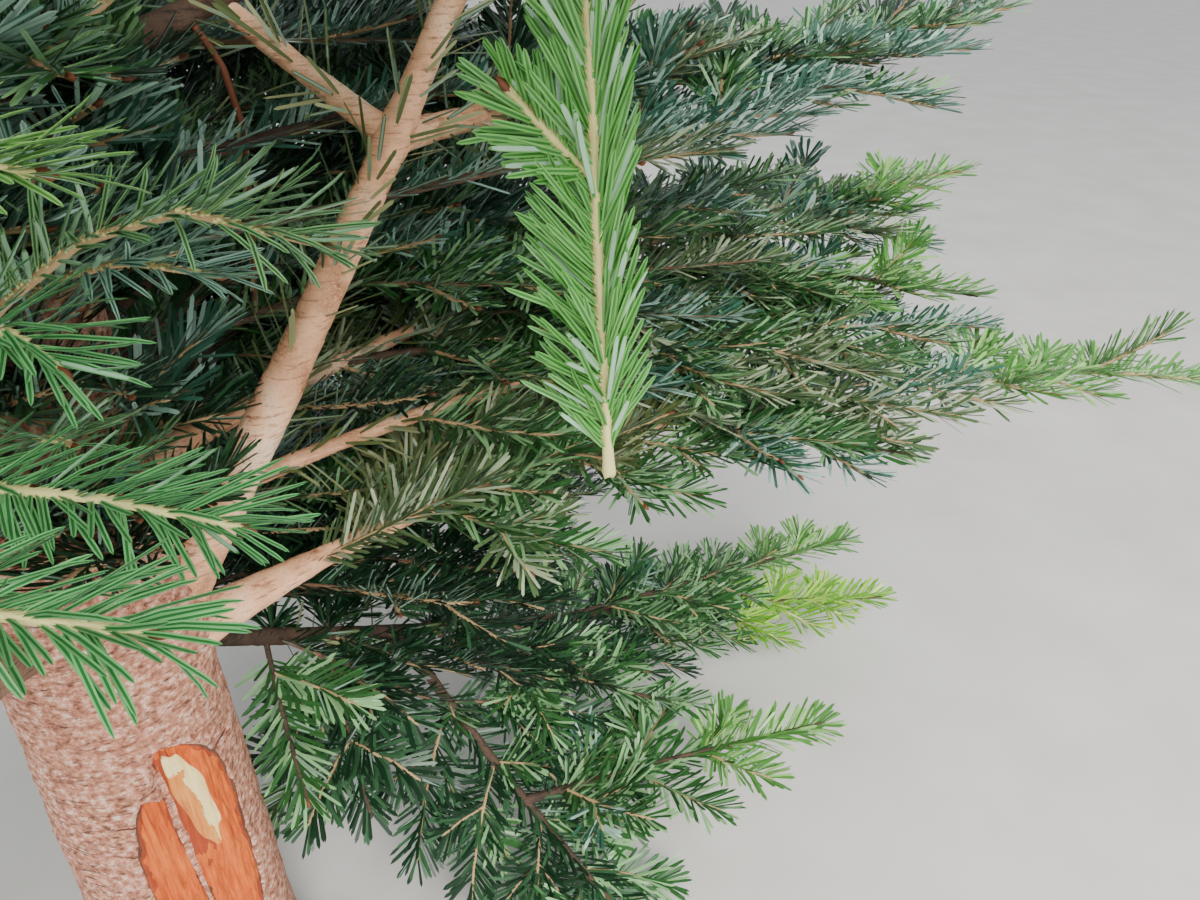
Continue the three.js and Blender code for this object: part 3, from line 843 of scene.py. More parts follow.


# Needles

# A needle is rows of how far along and how wide, each across a few spots. A near one has pale edges,
# a painted highlight, and a darker groove. Its back is a narrower sheet behind its face.
CLOSE_ROWS = [(0, 0.42), (0.1, 0.8), (0.35, 1.0), (0.84, 0.9), (0.95, 0.6), (1, 0)]
FACE_FORMS = {
    "close": (CLOSE_ROWS, (-0.4, 0.4)),
    "mid": ([(0, 0.5), (0.3, 1.0), (0.92, 0.86), (1, 0)], (-1, 1)),
    "distant": ([(0, 0.6), (0.88, 1.0), (1, 0)], (-1, 1)),
}
BACK_FORMS = {
    "close": ([(0.1, 0.5), (0.35, 0.74), (0.84, 0.74), (0.95, 0.4)], (-1, 1)),
    "mid": ([(0.08, 0.62), (0.96, 0.3)], (-1, 1)),
    "distant": ([(0.08, 0.7), (0.97, 0)], (-1, 1)),
}
# A needle outside the frame of the photograph is one narrow kite
KITE = (np.array([(0, 0, 0), (1, 0.45, 0), (0, 1, 0), (-1, 0.45, 0)], float), np.array([(0, 1, 2, 3)]),
        NO_TRIANGLES)
HIGHLIGHT_EDGE_SPOTS = ((-1, -0.4), (0.4, 1))
GROOVE_DIP = 0.12
BACK_DROP = 0.3
NEEDLE_LENGTH = 27
# Needles for each millimetre of shoot, and half the width of a needle, at each distance
PER_MM = {"close": 1.5, "mid": 1.2, "distant": 1.03, "unseen": 0.41}
HALF_WIDTH = {"close": 0.92, "mid": 1.02, "distant": 1.18, "unseen": 2.75}
# How flat needles stand round their shoot, as least, usual and most degrees from its upper side
ROUND_SHOOT = (12, 78, 108)
# Degrees between a needle and its shoot, and how much less it is at the tip
NEEDLE_ANGLE = 60
TIP_CLOSING = 20
# Shoots nearer than this are made more finely
MID_REACH = 560
# The share of needles that have the light shade, which is painted highlight
PAINTED_HIGHLIGHT_SHARE = 0.4
# Sides and ring spacing of the twigs at each distance
TWIG_MAKE = {"close": (8, 7), "mid": (5, 12), "distant": (4, 18), "unseen": (3, 60)}


def needle_form(rows, spots, groove=0.0, drop=0.0):
    """Vertices as (across, along, height), quads and triangles of one needle in its own outline."""
    verts, quads, tris = [], [], []
    columns = len(spots)
    for along, width in rows:
        if width == 0:
            verts.append((0, along, -drop))
            continue
        for x in spots:
            verts.append((x * width, along, -drop - groove * (1 - abs(x))))
    pointed = rows[-1][1] == 0
    full = len(rows) - 1 if pointed else len(rows)
    for r in range(full - 1):
        for c in range(columns - 1):
            a = r * columns + c
            quads.append((a, a + 1, a + columns + 1, a + columns))
    if pointed:
        last = (full - 1) * columns
        for c in range(columns - 1):
            tris.append((last + c, last + c + 1, full * columns))
    tris = np.array(tris, int).reshape(-1, 3)
    return np.array(verts, float), np.array(quads, int).reshape(-1, 4), tris


def fineness(shoot):
    """How finely a shoot is made, by how near the eye it comes in the photograph's frame."""
    if shoot.close:
        return "close"
    if shoot.near < MID_REACH:
        return "mid"
    return "distant" if shoot.near < math.inf else "unseen"


def needles_on(shoot, rng):
    """Origin, direction, face, length and width of each needle on a shoot."""
    path = shoot.path
    form = fineness(shoot)
    span = path.length - shoot.bare
    count = int(span * PER_MM[form] * shoot.dense)
    if count < 1:
        return form, None
    order = np.arange(count)
    s = shoot.bare + span * (order + rng.random(count)) / count
    t = s / path.length
    point, forward, across, over = path.at(s)
    side = np.where(order % 2 == 0, 1.0, -1.0)
    if shoot.radial:
        phi = rng.uniform(-math.pi, math.pi, count)
    else:
        phi = side * np.radians(rng.triangular(*ROUND_SHOOT, count))
    from_tip = path.length - s
    angle = NEEDLE_ANGLE + shoot.lean - side * shoot.skew - TIP_CLOSING * t
    theta = np.radians(angle + rng.normal(0, 7, count))
    theta *= 0.5 + 0.5 * ease(from_tip / 14)
    theta *= 0.62 + 0.38 * np.abs(np.sin(phi))
    out = np.cos(phi)[:, None] * over + np.sin(phi)[:, None] * across
    heading = unit(np.cos(theta)[:, None] * forward + np.sin(theta)[:, None] * out)
    radius = shoot.thick + (shoot.tip - shoot.thick) * t
    origin = point + out * radius[:, None] * 0.8
    tilt = np.radians(rng.normal(0, 16, count))
    towards = out if shoot.radial else over
    face = unit(towards - heading * np.sum(towards * heading, axis=1, keepdims=True) + 1e-4)
    aside = np.cross(heading, face)
    face = np.cos(tilt)[:, None] * face + np.sin(tilt)[:, None] * aside
    face *= np.where(rng.random(count) < shoot.turned, -1.0, 1.0)[:, None]
    aside = np.cross(heading, face)
    size = NEEDLE_LENGTH * shoot.long * rng.uniform(0.82, 1.1, count)
    size *= 0.72 + 0.28 * ease(np.minimum(t * 5, from_tip / 16))
    bend = rng.normal(-0.13, 0.12, count) if shoot.close else rng.normal(0.03, 0.06, count)
    width = HALF_WIDTH[form] * rng.uniform(0.88, 1.12, count)
    return form, (origin, heading, face, aside, size, width, bend)


def put_needles(form, batch):
    """All needles of a batch as vertices, quads and triangles."""
    verts, quads, tris = form
    origin, heading, face, aside, size, width, bend = batch
    count = len(origin)
    across = verts[None, :, 0] * width[:, None]
    along = verts[None, :, 1] * size[:, None]
    height = verts[None, :, 2] + (bend * size)[:, None] * verts[None, :, 1] ** 2
    spots = (
        origin[:, None, :]
        + across[..., None] * aside[:, None, :]
        + along[..., None] * heading[:, None, :]
        + height[..., None] * face[:, None, :]
    )
    shift = (np.arange(count) * len(verts))[:, None, None]
    quads = (quads[None] + shift).reshape(-1, 4)
    tris = (tris[None] + shift).reshape(-1, 3)
    return spots.reshape(-1, 3), quads, tris


class Heap:
    """Vertices and faces that are gathered and then made into pieces of a limited size."""

    def __init__(self):
        self.blocks = []

    def add(self, verts, quads, tris):
        self.blocks.append((verts, quads, tris))

    def chunks(self):
        chunk, total = [], 0
        for verts, quads, tris in self.blocks:
            size = 2 * len(quads) + len(tris)
            if chunk and total + size > PIECE_LIMIT:
                yield join_blocks(chunk)
                chunk, total = [], 0
            chunk.append((verts, quads, tris))
            total += size
        if chunk:
            yield join_blocks(chunk)


def join_blocks(blocks):
    shift, verts, quads, tris = 0, [], [], []
    for v, q, t in blocks:
        verts.append(v)
        quads.append(q + shift)
        tris.append(t + shift)
        shift += len(v)
    return np.concatenate(verts), np.concatenate(quads), np.concatenate(tris)


def make_mesh(name, verts, quads, tris, materials, kinds=None, smooth=True):
    """A piece from quads and triangles, where kinds gives the material of each face."""
    mesh = bpy.data.meshes.new(name)
    mesh.vertices.add(len(verts))
    mesh.vertices.foreach_set("co", (verts * METRE).astype(np.float32).ravel())
    loops = np.concatenate([quads.ravel(), tris.ravel()]).astype(np.int32)
    mesh.loops.add(len(loops))
    mesh.loops.foreach_set("vertex_index", loops)
    starts = np.concatenate([np.arange(len(quads)) * 4, 4 * len(quads) + np.arange(len(tris)) * 3])
    mesh.polygons.add(len(starts))
    mesh.polygons.foreach_set("loop_start", starts.astype(np.int32))
    for material in materials:
        mesh.materials.append(material)
    if kinds is not None:
        mesh.polygons.foreach_set("material_index", kinds.astype(np.int32))
    mesh.polygons.foreach_set("use_smooth", np.full(len(starts), smooth))
    mesh.update(calc_edges=True)
    piece = bpy.data.objects.new(name, mesh)
    bpy.context.scene.collection.objects.link(piece)
    return piece


# Tubes and other rounds


def round_angles(sides):
    return 2 * math.pi * np.arange(sides) / sides


def ring_quads(count, sides):
    row = np.arange(count - 1)[:, None] * sides
    here = np.arange(sides)[None, :]
    beside = (here + 1) % sides
    corners = [row + here, row + beside, row + sides + beside, row + sides + here]
    return np.stack(corners, -1).reshape(-1, 4)


def fan(ring, centre):
    """Triangles from a ring of vertices to the one in its middle."""
    return np.stack([ring, np.roll(ring, -1), np.full(len(ring), centre)], 1)


def rings_on(path, radius, sides, count):
    """Rings of points round a path, which way each point faces, and a point beyond the last ring."""
    s = np.linspace(0, path.length, count)
    point, forward, across, over = path.at(s)
    thick = radius(s)
    angles = round_angles(sides)
    out = np.cos(angles)[None, :, None] * across[:, None, :]
    out = out + np.sin(angles)[None, :, None] * over[:, None, :]
    rings = point[:, None, :] + out * thick[:, None, None]
    return s, thick, out.reshape(-1, 3), rings.reshape(-1, 3), point[-1] + forward[-1] * thick[-1]


def closed_tube(rings, tip, sides):
    """Vertices, quads, and the triangles that close the end of a tube."""
    count = len(rings) // sides
    last = (count - 1) * sides + np.arange(sides)
    return np.vstack([rings, tip]), ring_quads(count, sides), fan(last, count * sides)


def tube(path, radius, sides, step):
    count = max(2, int(round(path.length / step)) + 1)
    return closed_tube(*rings_on(path, radius, sides, count)[3:], sides)


# Materials


def linear(red, green, blue):
    """A colour in linear light from one in everyday 0 to 255 values."""
    values = [c / 255 for c in (red, green, blue)]
    return tuple(c / 12.92 if c <= 0.04045 else ((c + 0.055) / 1.055) ** 2.4 for c in values) + (1.0,)


def plain(name, colour, roughness, **settings):
    material = bpy.data.materials.new(name)
    material.use_nodes = True
    shader = material.node_tree.nodes["Principled BSDF"]
    shader.inputs["Base Color"].default_value = linear(*colour)
    shader.inputs["Roughness"].default_value = roughness
    for socket, value in settings.items():
        shader.inputs[socket.replace("_", " ")].default_value = value
    return material


class Nodes:
    """Adds nodes to a material and links them."""

    def __init__(self, material):
        self.tree = material.node_tree
        self.shader = self.tree.nodes["Principled BSDF"]
        self.place = self.tree.nodes.new("ShaderNodeTexCoord").outputs["Object"]

    def add(self, kind, links=None, **settings):
        node = self.tree.nodes.new(kind)
        for key, value in settings.items():
            if hasattr(node, key):
                setattr(node, key, value)
            else:
                node.inputs[key.replace("_", " ")].default_value = value
        for key, source in (links or {}).items():
            self.tree.links.new(source, node.inputs[key])
        return node

    def stretched(self, scale):
        return self.add("ShaderNodeMapping", {"Vector": self.place}, Scale=scale).outputs["Vector"]

    def noise(self, scale, detail=4.0, rough=0.6, distortion=0.0):
        node = self.add("ShaderNodeTexNoise", {"Vector": self.stretched(scale)}, Scale=1.0,
                        Detail=detail, Roughness=rough, Distortion=distortion)
        return node.outputs["Fac"]

    def ramp(self, source, stops):
        node = self.add("ShaderNodeValToRGB", {"Fac": source})
        elements = node.color_ramp.elements
        while len(elements) < len(stops):
            elements.new(0.5)
        for element, (position, colour) in zip(elements, stops):
            element.position = position
            element.color = linear(*colour) if len(colour) == 3 else colour
        return node.outputs["Color"]

    def blend(self, amount, first, second, kind="MIX"):
        node = self.add("ShaderNodeMix", data_type="RGBA", blend_type=kind)
        for key, source in (("Factor", amount), ("A", first), ("B", second)):
            socket = [s for s in node.inputs if s.name == key and s.enabled][0]
            if isinstance(source, float):
                socket.default_value = source
            else:
                self.tree.links.new(source, socket)
        return [s for s in node.outputs if s.enabled][0]

    def finish(self, colour, height=None, strength=0.4, distance=0.0006, rough=None):
        self.tree.links.new(colour, self.shader.inputs["Base Color"])
        if height is not None:
            bump = self.add("ShaderNodeBump", {"Height": height}, Strength=strength, Distance=distance)
            self.tree.links.new(bump.outputs["Normal"], self.shader.inputs["Normal"])
        if rough is not None:
            self.tree.links.new(rough, self.shader.inputs["Roughness"])


def shade(colour, factor):
    return tuple(min(255, int(c * factor)) for c in colour)


def level(value):
    """A grey that stands for a number."""
    return (value, value, value, 1)


# The heights in metres between which the trunk turns darker and greyer, partly as young bark and partly
# as painted shade under the boughs
YOUNG_AND_SHADED_HEIGHTS = (0.3, 0.8)
WHITE = (255, 255, 255)
# The colour of the painted shade in the creases of the young bark
CREASE_SHADE = (120, 92, 78)


def bark(name, dark, mid, pale, crack_scale, speck_scale, strength, depth, patch_scale=(28, 28, 20),
         young_and_shade_tint=None):
    """Bark with soft patches of colour, fine cracks across it and small specks.

    A low depth is a dark crack, whose colour is painted shade. With a young tint it gets creases of
    painted shade, and turns to that tint higher up, which is partly young bark and partly painted shade
    under the boughs.
    """
    material = plain(name, mid, 0.88)
    nodes = Nodes(material)
    patches = nodes.ramp(nodes.noise(patch_scale, detail=6), ((0.34, dark), (0.5, mid), (0.66, pale)))
    cracks = nodes.noise(crack_scale, detail=6, rough=0.65, distortion=0.3)
    crack_mask = nodes.ramp(cracks, ((0.34, level(0)), (0.46, level(1))))
    specks = nodes.noise(speck_scale, detail=3, rough=0.7)
    speck_mask = nodes.ramp(specks, ((0.38, level(0)), (0.5, level(1))))
    # The dark colour in the cracks is painted shade
    deep = nodes.ramp(specks, ((0.2, shade(dark, depth)), (0.8, shade(dark, depth + 0.25))))
    coloured = nodes.blend(crack_mask, deep, patches)
    freckles = nodes.ramp(cracks, ((0.3, dark), (0.7, shade(mid, 1.12))))
    coloured = nodes.blend(speck_mask, freckles, coloured)
    if young_and_shade_tint:
        # Higher up the colour is multiplied by the tint: partly young bark, partly painted shade under
        # the boughs
        up = nodes.add("ShaderNodeSeparateXYZ", {"Vector": nodes.place}).outputs["Z"]
        tint = nodes.ramp(up, ((YOUNG_AND_SHADED_HEIGHTS[0], WHITE), (YOUNG_AND_SHADED_HEIGHTS[1], young_and_shade_tint)))
        coloured = nodes.blend(1.0, coloured, tint, "MULTIPLY")
        # Dark creases of painted shade
        creases = nodes.noise((20, 20, 340), detail=3, distortion=0.8)
        shadow = nodes.ramp(creases, ((0.3, CREASE_SHADE), (0.345, WHITE)))
        coloured = nodes.blend(1.0, coloured, shadow, "MULTIPLY")
    height = nodes.add("ShaderNodeMath", {0: cracks, 1: specks}, operation="ADD").outputs[0]
    rough = nodes.ramp(specks, ((0.2, level(0.72)), (0.8, level(0.95))))
    nodes.finish(coloured, height, strength, 0.0012, rough)
    return material


TRUNK_BARK = bark("trunk_bark", (126, 74, 54), (216, 148, 120), (255, 224, 202), (140, 140, 460),
                  (700, 700, 1000), strength=1.0, depth=0.5, patch_scale=(250, 250, 290),
                  young_and_shade_tint=(165, 178, 162))
PINK_BARK = bark("bough_bark_pink", (198, 136, 98), (252, 192, 150), (255, 224, 192), (90, 90, 620),
                 (800, 800, 900), strength=0.4, depth=0.72)
BROWN_BARK = bark("bough_bark_brown", (84, 62, 48), (128, 98, 78), (158, 126, 100), (90, 90, 560),
                  (700, 700, 800), strength=0.5, depth=0.6)
# A darker bark of painted shade, for boughs under and inside the crown
SHADE_PAINTED_BOUGH_BARK = bark("bough_bark_shaded", (56, 42, 34), (86, 66, 52), (112, 88, 68), (90, 90, 500),
                        (600, 600, 700), strength=0.5, depth=0.6)
TWIG_BARK = {
    "tan": plain("twig_tan", (186, 154, 112), 0.75),
    "brown": plain("twig_brown", (138, 104, 80), 0.82),
    "green": plain("twig_green", (226, 216, 146), 0.7),
    "amber": plain("twig_amber", (206, 150, 74), 0.7),
    "red": plain("twig_red", (116, 66, 44), 0.8),
}
BUD = plain("bud", (118, 66, 40), 0.6)

# Each needle colour has a plain dark shade and a plain light one, which is painted highlight, and each
# spray mixes the two.
NEEDLE_COLOURS = {
    # The deep colour is painted shade, dealt out most to shoots inside and under the crown
    DEEP: ("deep", (22, 52, 30), (52, 92, 58)),
    GREEN: ("green", (48, 96, 46), (138, 184, 126)),
    BLUE: ("blue", (58, 104, 84), (166, 202, 186)),
    GREY: ("grey", (86, 112, 70), (184, 198, 160)),
    OLIVE: ("olive", (88, 104, 58), (150, 158, 112)),
    BRIGHT: ("bright", (82, 142, 60), (150, 200, 116)),
    VIVID: ("vivid", (46, 116, 36), (106, 174, 80)),
    FRESH: ("fresh", (42, 108, 52), (112, 178, 112)),
    LIME: ("lime", (110, 178, 34), (176, 220, 84)),
}
NEEDLES = {}
for tone, (name, dark, light) in NEEDLE_COLOURS.items():
    NEEDLES[tone, "dark"] = plain(f"needle_{name}", dark, 0.4, Specular_IOR_Level=0.5)
    NEEDLES[tone, "light"] = plain(f"needle_{name}_light", light, 0.4, Specular_IOR_Level=0.5)
SILVER_UNDERSIDE = plain("needle_underside_near", (158, 198, 166), 0.55)
UNDERSIDE = plain("needle_underside", (130, 162, 142), 0.55)

mass_nodes = [n for n in frame["nodes"] if n.startswith("mass_")] + ["hanging_sprig"]


def set_piece(piece, nodes):
    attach(piece, "root")
    if nodes:
        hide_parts(*nodes)


# Make the foliage

rng = np.random.default_rng(11)
faces = {look: Heap() for look in NEEDLES}
backs = {form: Heap() for form in BACK_FORMS}
pegs = Heap()
FACE = {name: needle_form(rows, spots, GROOVE_DIP if name == "close" else 0)
        for name, (rows, spots) in FACE_FORMS.items()}
BACK = {name: needle_form(rows, spots, 0, BACK_DROP) for name, (rows, spots) in BACK_FORMS.items()}
FACE["unseen"] = KITE
HIGHLIGHT_EDGES = [needle_form(CLOSE_ROWS, spots, GROOVE_DIP) for spots in HIGHLIGHT_EDGE_SPOTS]
# The small foot that a near needle stands on
PEG = (np.array([(-1, 0, 0), (0, 0, 1), (1, 0, 0), (0, 0, -1), (0, 1, 0)], float), NO_QUADS,
       np.array([(0, 1, 4), (1, 2, 4), (2, 3, 4), (3, 0, 4)]))
PEG_SIZE = {"sunk": 0.6, "length": 2.6, "half_width": 0.7}
for shoot in shoots:
    form, batch = needles_on(shoot, rng)
    if batch is None:
        continue
    if form == "close":
        faces[shoot.tone, "dark"].add(*put_needles(FACE[form], batch))
        # The pale edges of a near needle are painted highlight, in the light shade of its colour
        for edge in HIGHLIGHT_EDGES:
            faces[shoot.tone, "light"].add(*put_needles(edge, batch))
        origin, heading, face, aside, size, width, bend = batch
        pegs.add(*put_needles(PEG, (origin - heading * PEG_SIZE["sunk"], heading, face, aside,
                                    0 * size + PEG_SIZE["length"], 0 * width + PEG_SIZE["half_width"],
                                    0 * bend)))
    else:
        # Elsewhere a share of the needles gets the light shade of its colour, as painted highlight
        painted_highlight = rng.random(len(batch[0])) < PAINTED_HIGHLIGHT_SHARE
        for look, chosen in (("dark", ~painted_highlight), ("light", painted_highlight)):
            faces[shoot.tone, look].add(*put_needles(FACE[form], [values[chosen] for values in batch]))
    if form in BACK:
        backs[form].add(*put_needles(BACK[form], batch))


# A twig thicker than this is brown. A bud is its distances from the end of its twig, and its radius at
# distances from its own start.
BROWN_TWIG = 1.75
BUD_POINTS = (-1, 1.2, 2.9, 4.6)
BUD_SHAPE = ([0, 2.2, 3.9, 5.6], [1.0, 1.75, 1.45, 0.3])


def twig_kind(shoot):
    if shoot.bark:
        return shoot.bark
    if shoot.tone in (LIME, VIVID):
        return "green"
    return "brown" if shoot.thick > BROWN_TWIG else "tan"


twigs = {kind: Heap() for kind in TWIG_BARK}
buds = Heap()
for shoot in shoots:
    form = fineness(shoot)
    sides, spacing = TWIG_MAKE[form]
    path = shoot.path
    if shoot.twig:
        thinner = shoot.tip - shoot.thick
        shape = tube(path, lambda s: shoot.thick + thinner * s / path.length, sides, spacing)
        twigs[twig_kind(shoot)].add(*shape)
    if form in ("close", "mid"):
        point, forward, _, over = path.at(path.length)
        end = Path([point + forward * d for d in BUD_POINTS], over)
        buds.add(*tube(end, lambda s: np.interp(s, *BUD_SHAPE), 4, 1.9))

heaps = [(NEEDLES[look].name, heap, NEEDLES[look]) for look, heap in faces.items()]
heaps += [(f"twigs_{kind}", heap, TWIG_BARK[kind]) for kind, heap in twigs.items()]
heaps += [("needle_undersides", backs["mid"], UNDERSIDE),
          ("needle_undersides_small", backs["distant"], UNDERSIDE),
          ("needle_undersides_near", backs["close"], SILVER_UNDERSIDE),
          ("needle_pegs", pegs, TWIG_BARK["green"]), ("buds", buds, BUD)]
for name, heap, material in heaps:
    for i, block in enumerate(heap.chunks()):
        set_piece(make_mesh(f"{name}_{i + 1}", *block, [material]), mass_nodes)


# Boughs with bark relief

PINK = {"steep", "fork_right", "fork_left", "low_right", "mid_right", "behind"}
# Low boughs that get the darker bark of painted shade
SHADED = {"drooping", "ground_arm", "upper_left"}


def relief_tube(path, radius, sides, step, seed, wrinkle, lump):
    """A bough whose bark is wrinkled across and swollen in soft lumps along it."""
    count = int(path.length / step) + 2
    s, thick, out, rings, tip = rings_on(path, radius, sides, count)
    angles = round_angles(sides)
    flat = np.stack([np.repeat(s, sides), np.tile(np.sin(angles) * 9, count),
                     np.tile(np.cos(angles) * 9, count)], -1)
    rough = wrinkle * noise(flat, (3.2, 9, 9), seed) + 0.6 * wrinkle * noise(flat, (9, 5, 5), seed + 1)
    rough += lump * noise(flat, (26, 12, 12), seed + 2)
    rough *= np.minimum(1, np.repeat(thick, sides) / 6)
    return closed_tube(rings + out * rough[:, None], tip, sides)


# Swellings of a bough, as distance along it, height and spread
SWELLINGS = {"steep": [(250, 1.6, 13), (118, 0.8, 9), (330, 1.0, 10)]}
for i, (name, (bough, path)) in enumerate(limbs.items()):
    material = PINK_BARK if name in PINK else (SHADE_PAINTED_BOUGH_BARK if name in SHADED else BROWN_BARK)
    sides, step = (16, 2.8) if name in HERO else (8, 16)
    shape = relief_tube(path, shown_radius(bough, SWELLINGS.get(name, ())), sides, step, 50 + 3 * i,
                        wrinkle=0.34, lump=0.55)
    set_piece(make_mesh(f"{name}_bark", *shape, [material]), [f"bough_{name}"])
inner = Heap()
for i, (bough, path) in enumerate(inner_boughs):
    inner.add(*relief_tube(path, shown_radius(bough), 6, 26, 200 + 3 * i, wrinkle=0.1, lump=0.3))
for i, block in enumerate(inner.chunks()):
    set_piece(make_mesh(f"inner_boughs_{i + 1}", *block, [SHADE_PAINTED_BOUGH_BARK]), mass_nodes)


# The cut end of the hanging sprig, torn pale
CUT_END = {"length": 30, "radius": 1.5, "wider": 0.9, "sides": 14, "fibre": 1.6, "torn": 2, "dome": 1.2}
cut_line = sprig_line.part(0, CUT_END["length"], 2)
verts, quads, tris = tube(cut_line, lambda s: CUT_END["radius"] + CUT_END["wider"] * np.exp(-s / 10),
                          CUT_END["sides"], 1.5)
fibres = noise(verts * [1, 1, 0.25], (1.1, 1.1, 1.1), 91)
torn = np.where(verts[:, 2] < SPRIG["cut"][2] + CUT_END["torn"], CUT_END["fibre"], 0)
verts = verts + UP * (fibres * torn)[:, None]
cap = fan(np.arange(CUT_END["sides"]), len(verts))[:, [1, 0, 2]]
verts = np.vstack([verts, np.array(SPRIG["cut"], float) + [0, 0, CUT_END["dome"]]])
piece = make_mesh("sprig_cut_end", verts, quads, np.vstack([tris, cap]), [TWIG_BARK["green"]])
set_piece(piece, ["hanging_sprig"])


# Trunk

# The outline of the scar, as angle in degrees and size round its centre: two lobes with a notch above
SCAR_OUTLINE = [
    (-74, 78), (-65, 60), (-40, 37), (-6, 28), (25, 31), (54, 49), (69, 66), (78, 77), (85, 83.5),
    (93, 88), (96.5, 79), (99, 57), (102, 59.5), (107, 62), (113, 56), (129, 40), (160, 30),
    (186, 29.5), (212, 33), (235, 49), (254, 73), (266, 84.5),
]
# The sheet of the scar lies this far inside the bark at its middle, and the bark under it deeper
SCAR_FLAT = 4.6
SCAR_THIN = 1.6
UNDER_SCAR = 1.8
# Relief of the trunk, as height and the size of its cells round and up
TRUNK_RELIEF = [(1.1, (34, 34, 60)), (0.55, (11, 11, 7)), (0.28, (4.5, 4.5, 2.6))]
# Cracks and blisters start where their noise passes a value, and the bark swells into a lip round the
# scar and into a collar round each low bough
CRACKS = {"start": 0.62, "soft": 0.25, "deep": 1.0}
BLISTERS = {"start": 0.55, "soft": 0.3, "high": 0.7}
LIP = {"beyond": 2.5, "spread": 2.0, "high": 1.0}
BRANCH_COLLAR = 5.0
# Rows of the lower trunk, close together where the photograph looks, as from, to and how many
TRUNK_ROWS = [(BUTT, 120, 30), (120, 470, 205), (470, 760, 48)]
LOW_SIDES = 168
HIGH_SIDES = 36
TRUNK_SEED = 30


def scar_outline(angle):
    turn, size = np.array(SCAR_OUTLINE, float).T
    return np.exp(np.interp(np.degrees(angle) % 360, turn % 360, np.log(size), period=360)) * 0.98


def scar_depth(u):
    """How far the face of the scar lies inside the bark, across its width."""
    radius = float(trunk_radius(SCAR["z"]))
    turn = np.abs(u) / radius
    return radius - np.minimum(radius - SCAR_THIN, (radius - SCAR_FLAT) / np.cos(np.minimum(turn, 1)))


def turn_from(side, angles):
    return (angles - math.radians(side) + math.pi) % (2 * math.pi) - math.pi


def trunk_verts(z, sides):
    """Rings of bark with relief, a collar under each low bough, and the hollow behind the scar."""
    seed = TRUNK_SEED
    grid_z, grid_a = np.meshgrid(z, round_angles(sides), indexing="ij")
    flat_z = grid_z.ravel()
    flat_a = grid_a.ravel()
    radius = trunk_radius(flat_z)
    out = np.stack([np.cos(flat_a), np.sin(flat_a), np.zeros_like(flat_a)], -1)
    rest = trunk_centre(flat_z) + out * radius[:, None]
    fade = np.minimum(1, radius / 30)
    rough = relief(rest, TRUNK_RELIEF, seed)
    cracks = noise(rest, (15, 15, 2.6), seed + 3) + 0.5 * noise(rest, (40, 40, 5), seed + 4)
    rough -= CRACKS["deep"] * ease((cracks - CRACKS["start"]) / CRACKS["soft"])
    blisters = noise(rest, (5.5, 5.5, 3.2), seed + 5)
    rough += BLISTERS["high"] * ease((blisters - BLISTERS["start"]) / BLISTERS["soft"])
    for bough, _ in limbs.values():
        if "side" in bough:
            gap = np.hypot(turn_from(bough["side"], flat_a) * radius, flat_z - bough["z"] - 3)
            rough += BRANCH_COLLAR * np.exp(-((gap / (bough["thick"] * 0.85)) ** 2))
    u = radius * turn_from(SCAR["side"], flat_a)
    v = flat_z - SCAR["z"]
    inside = np.hypot(u, v) / scar_outline(np.arctan2(v, u))
    beyond = (inside - 1) * np.hypot(u, v) / np.maximum(inside, 0.01)
    rough = rough * fade
    rough += LIP["high"] * np.exp(-(((beyond - LIP["beyond"]) / LIP["spread"]) ** 2))
    blend = ease((1.0 - beyond) / 2.0)
    rough = rough * (1 - blend) + (-scar_depth(u) - UNDER_SCAR) * blend
    return rest + out * rough[:, None]


low_z = np.concatenate([np.linspace(*rows)[:-1] for rows in TRUNK_ROWS] + [TRUNK_ROWS[-1][1:2]])
verts = trunk_verts(low_z, LOW_SIDES)
butt = fan(np.arange(LOW_SIDES), len(verts))[:, [1, 0, 2]]
verts = np.vstack([verts, trunk_centre(BUTT)])
piece = make_mesh("trunk_lower_bark", verts, ring_quads(len(low_z), LOW_SIDES), butt, [TRUNK_BARK])
set_piece(piece, ["trunk"])

# The upper trunk thins into the leader and ends in a bud
high_z = np.concatenate([np.linspace(752, 2100, 190), [2112, 2120, 2130, 2138, 2141]])
LEADER_SHAPE = ([1800, 2060, 2112, 2130, 2138, 2141], [1, 0.75, 0.6, 0.75, 0.5, 0.1])
verts = trunk_verts(np.minimum(high_z, TREE_TOP), HIGH_SIDES)
centre = trunk_centre(np.minimum(high_z, TREE_TOP)).repeat(HIGH_SIDES, 0)
shrink = np.interp(high_z, *LEADER_SHAPE)
verts = centre + (verts - centre) * shrink.repeat(HIGH_SIDES)[:, None]
verts[:, 2] = high_z.repeat(HIGH_SIDES)
piece = make_mesh("trunk_upper_bark", verts, ring_quads(len(high_z), HIGH_SIDES), NO_TRIANGLES,
                  [TRUNK_BARK])
set_piece(piece, ["trunk"])


# Scar

# How much the soft patches of wood show over its fibres
PATCH_SHARE = 0.7


def wood_material(name, dark, mid, pale, rough):
    material = plain(name, mid, rough)
    nodes = Nodes(material)
    fibres = nodes.noise((420, 420, 34), detail=6, rough=0.7, distortion=0.4)
    patches = nodes.noise((60, 60, 40), detail=4)
    streaks = nodes.ramp(fibres, ((0.3, dark), (0.5, mid), (0.7, pale)))
    tints = nodes.ramp(patches, ((0.3, mid), (0.7, pale)))
    some = nodes.add("ShaderNodeMath", {0: patches}, operation="MULTIPLY")
    some.inputs[1].default_value = PATCH_SHARE
    nodes.finish(nodes.blend(some.outputs[0], streaks, tints), fibres, 0.8, 0.0014)
    return material


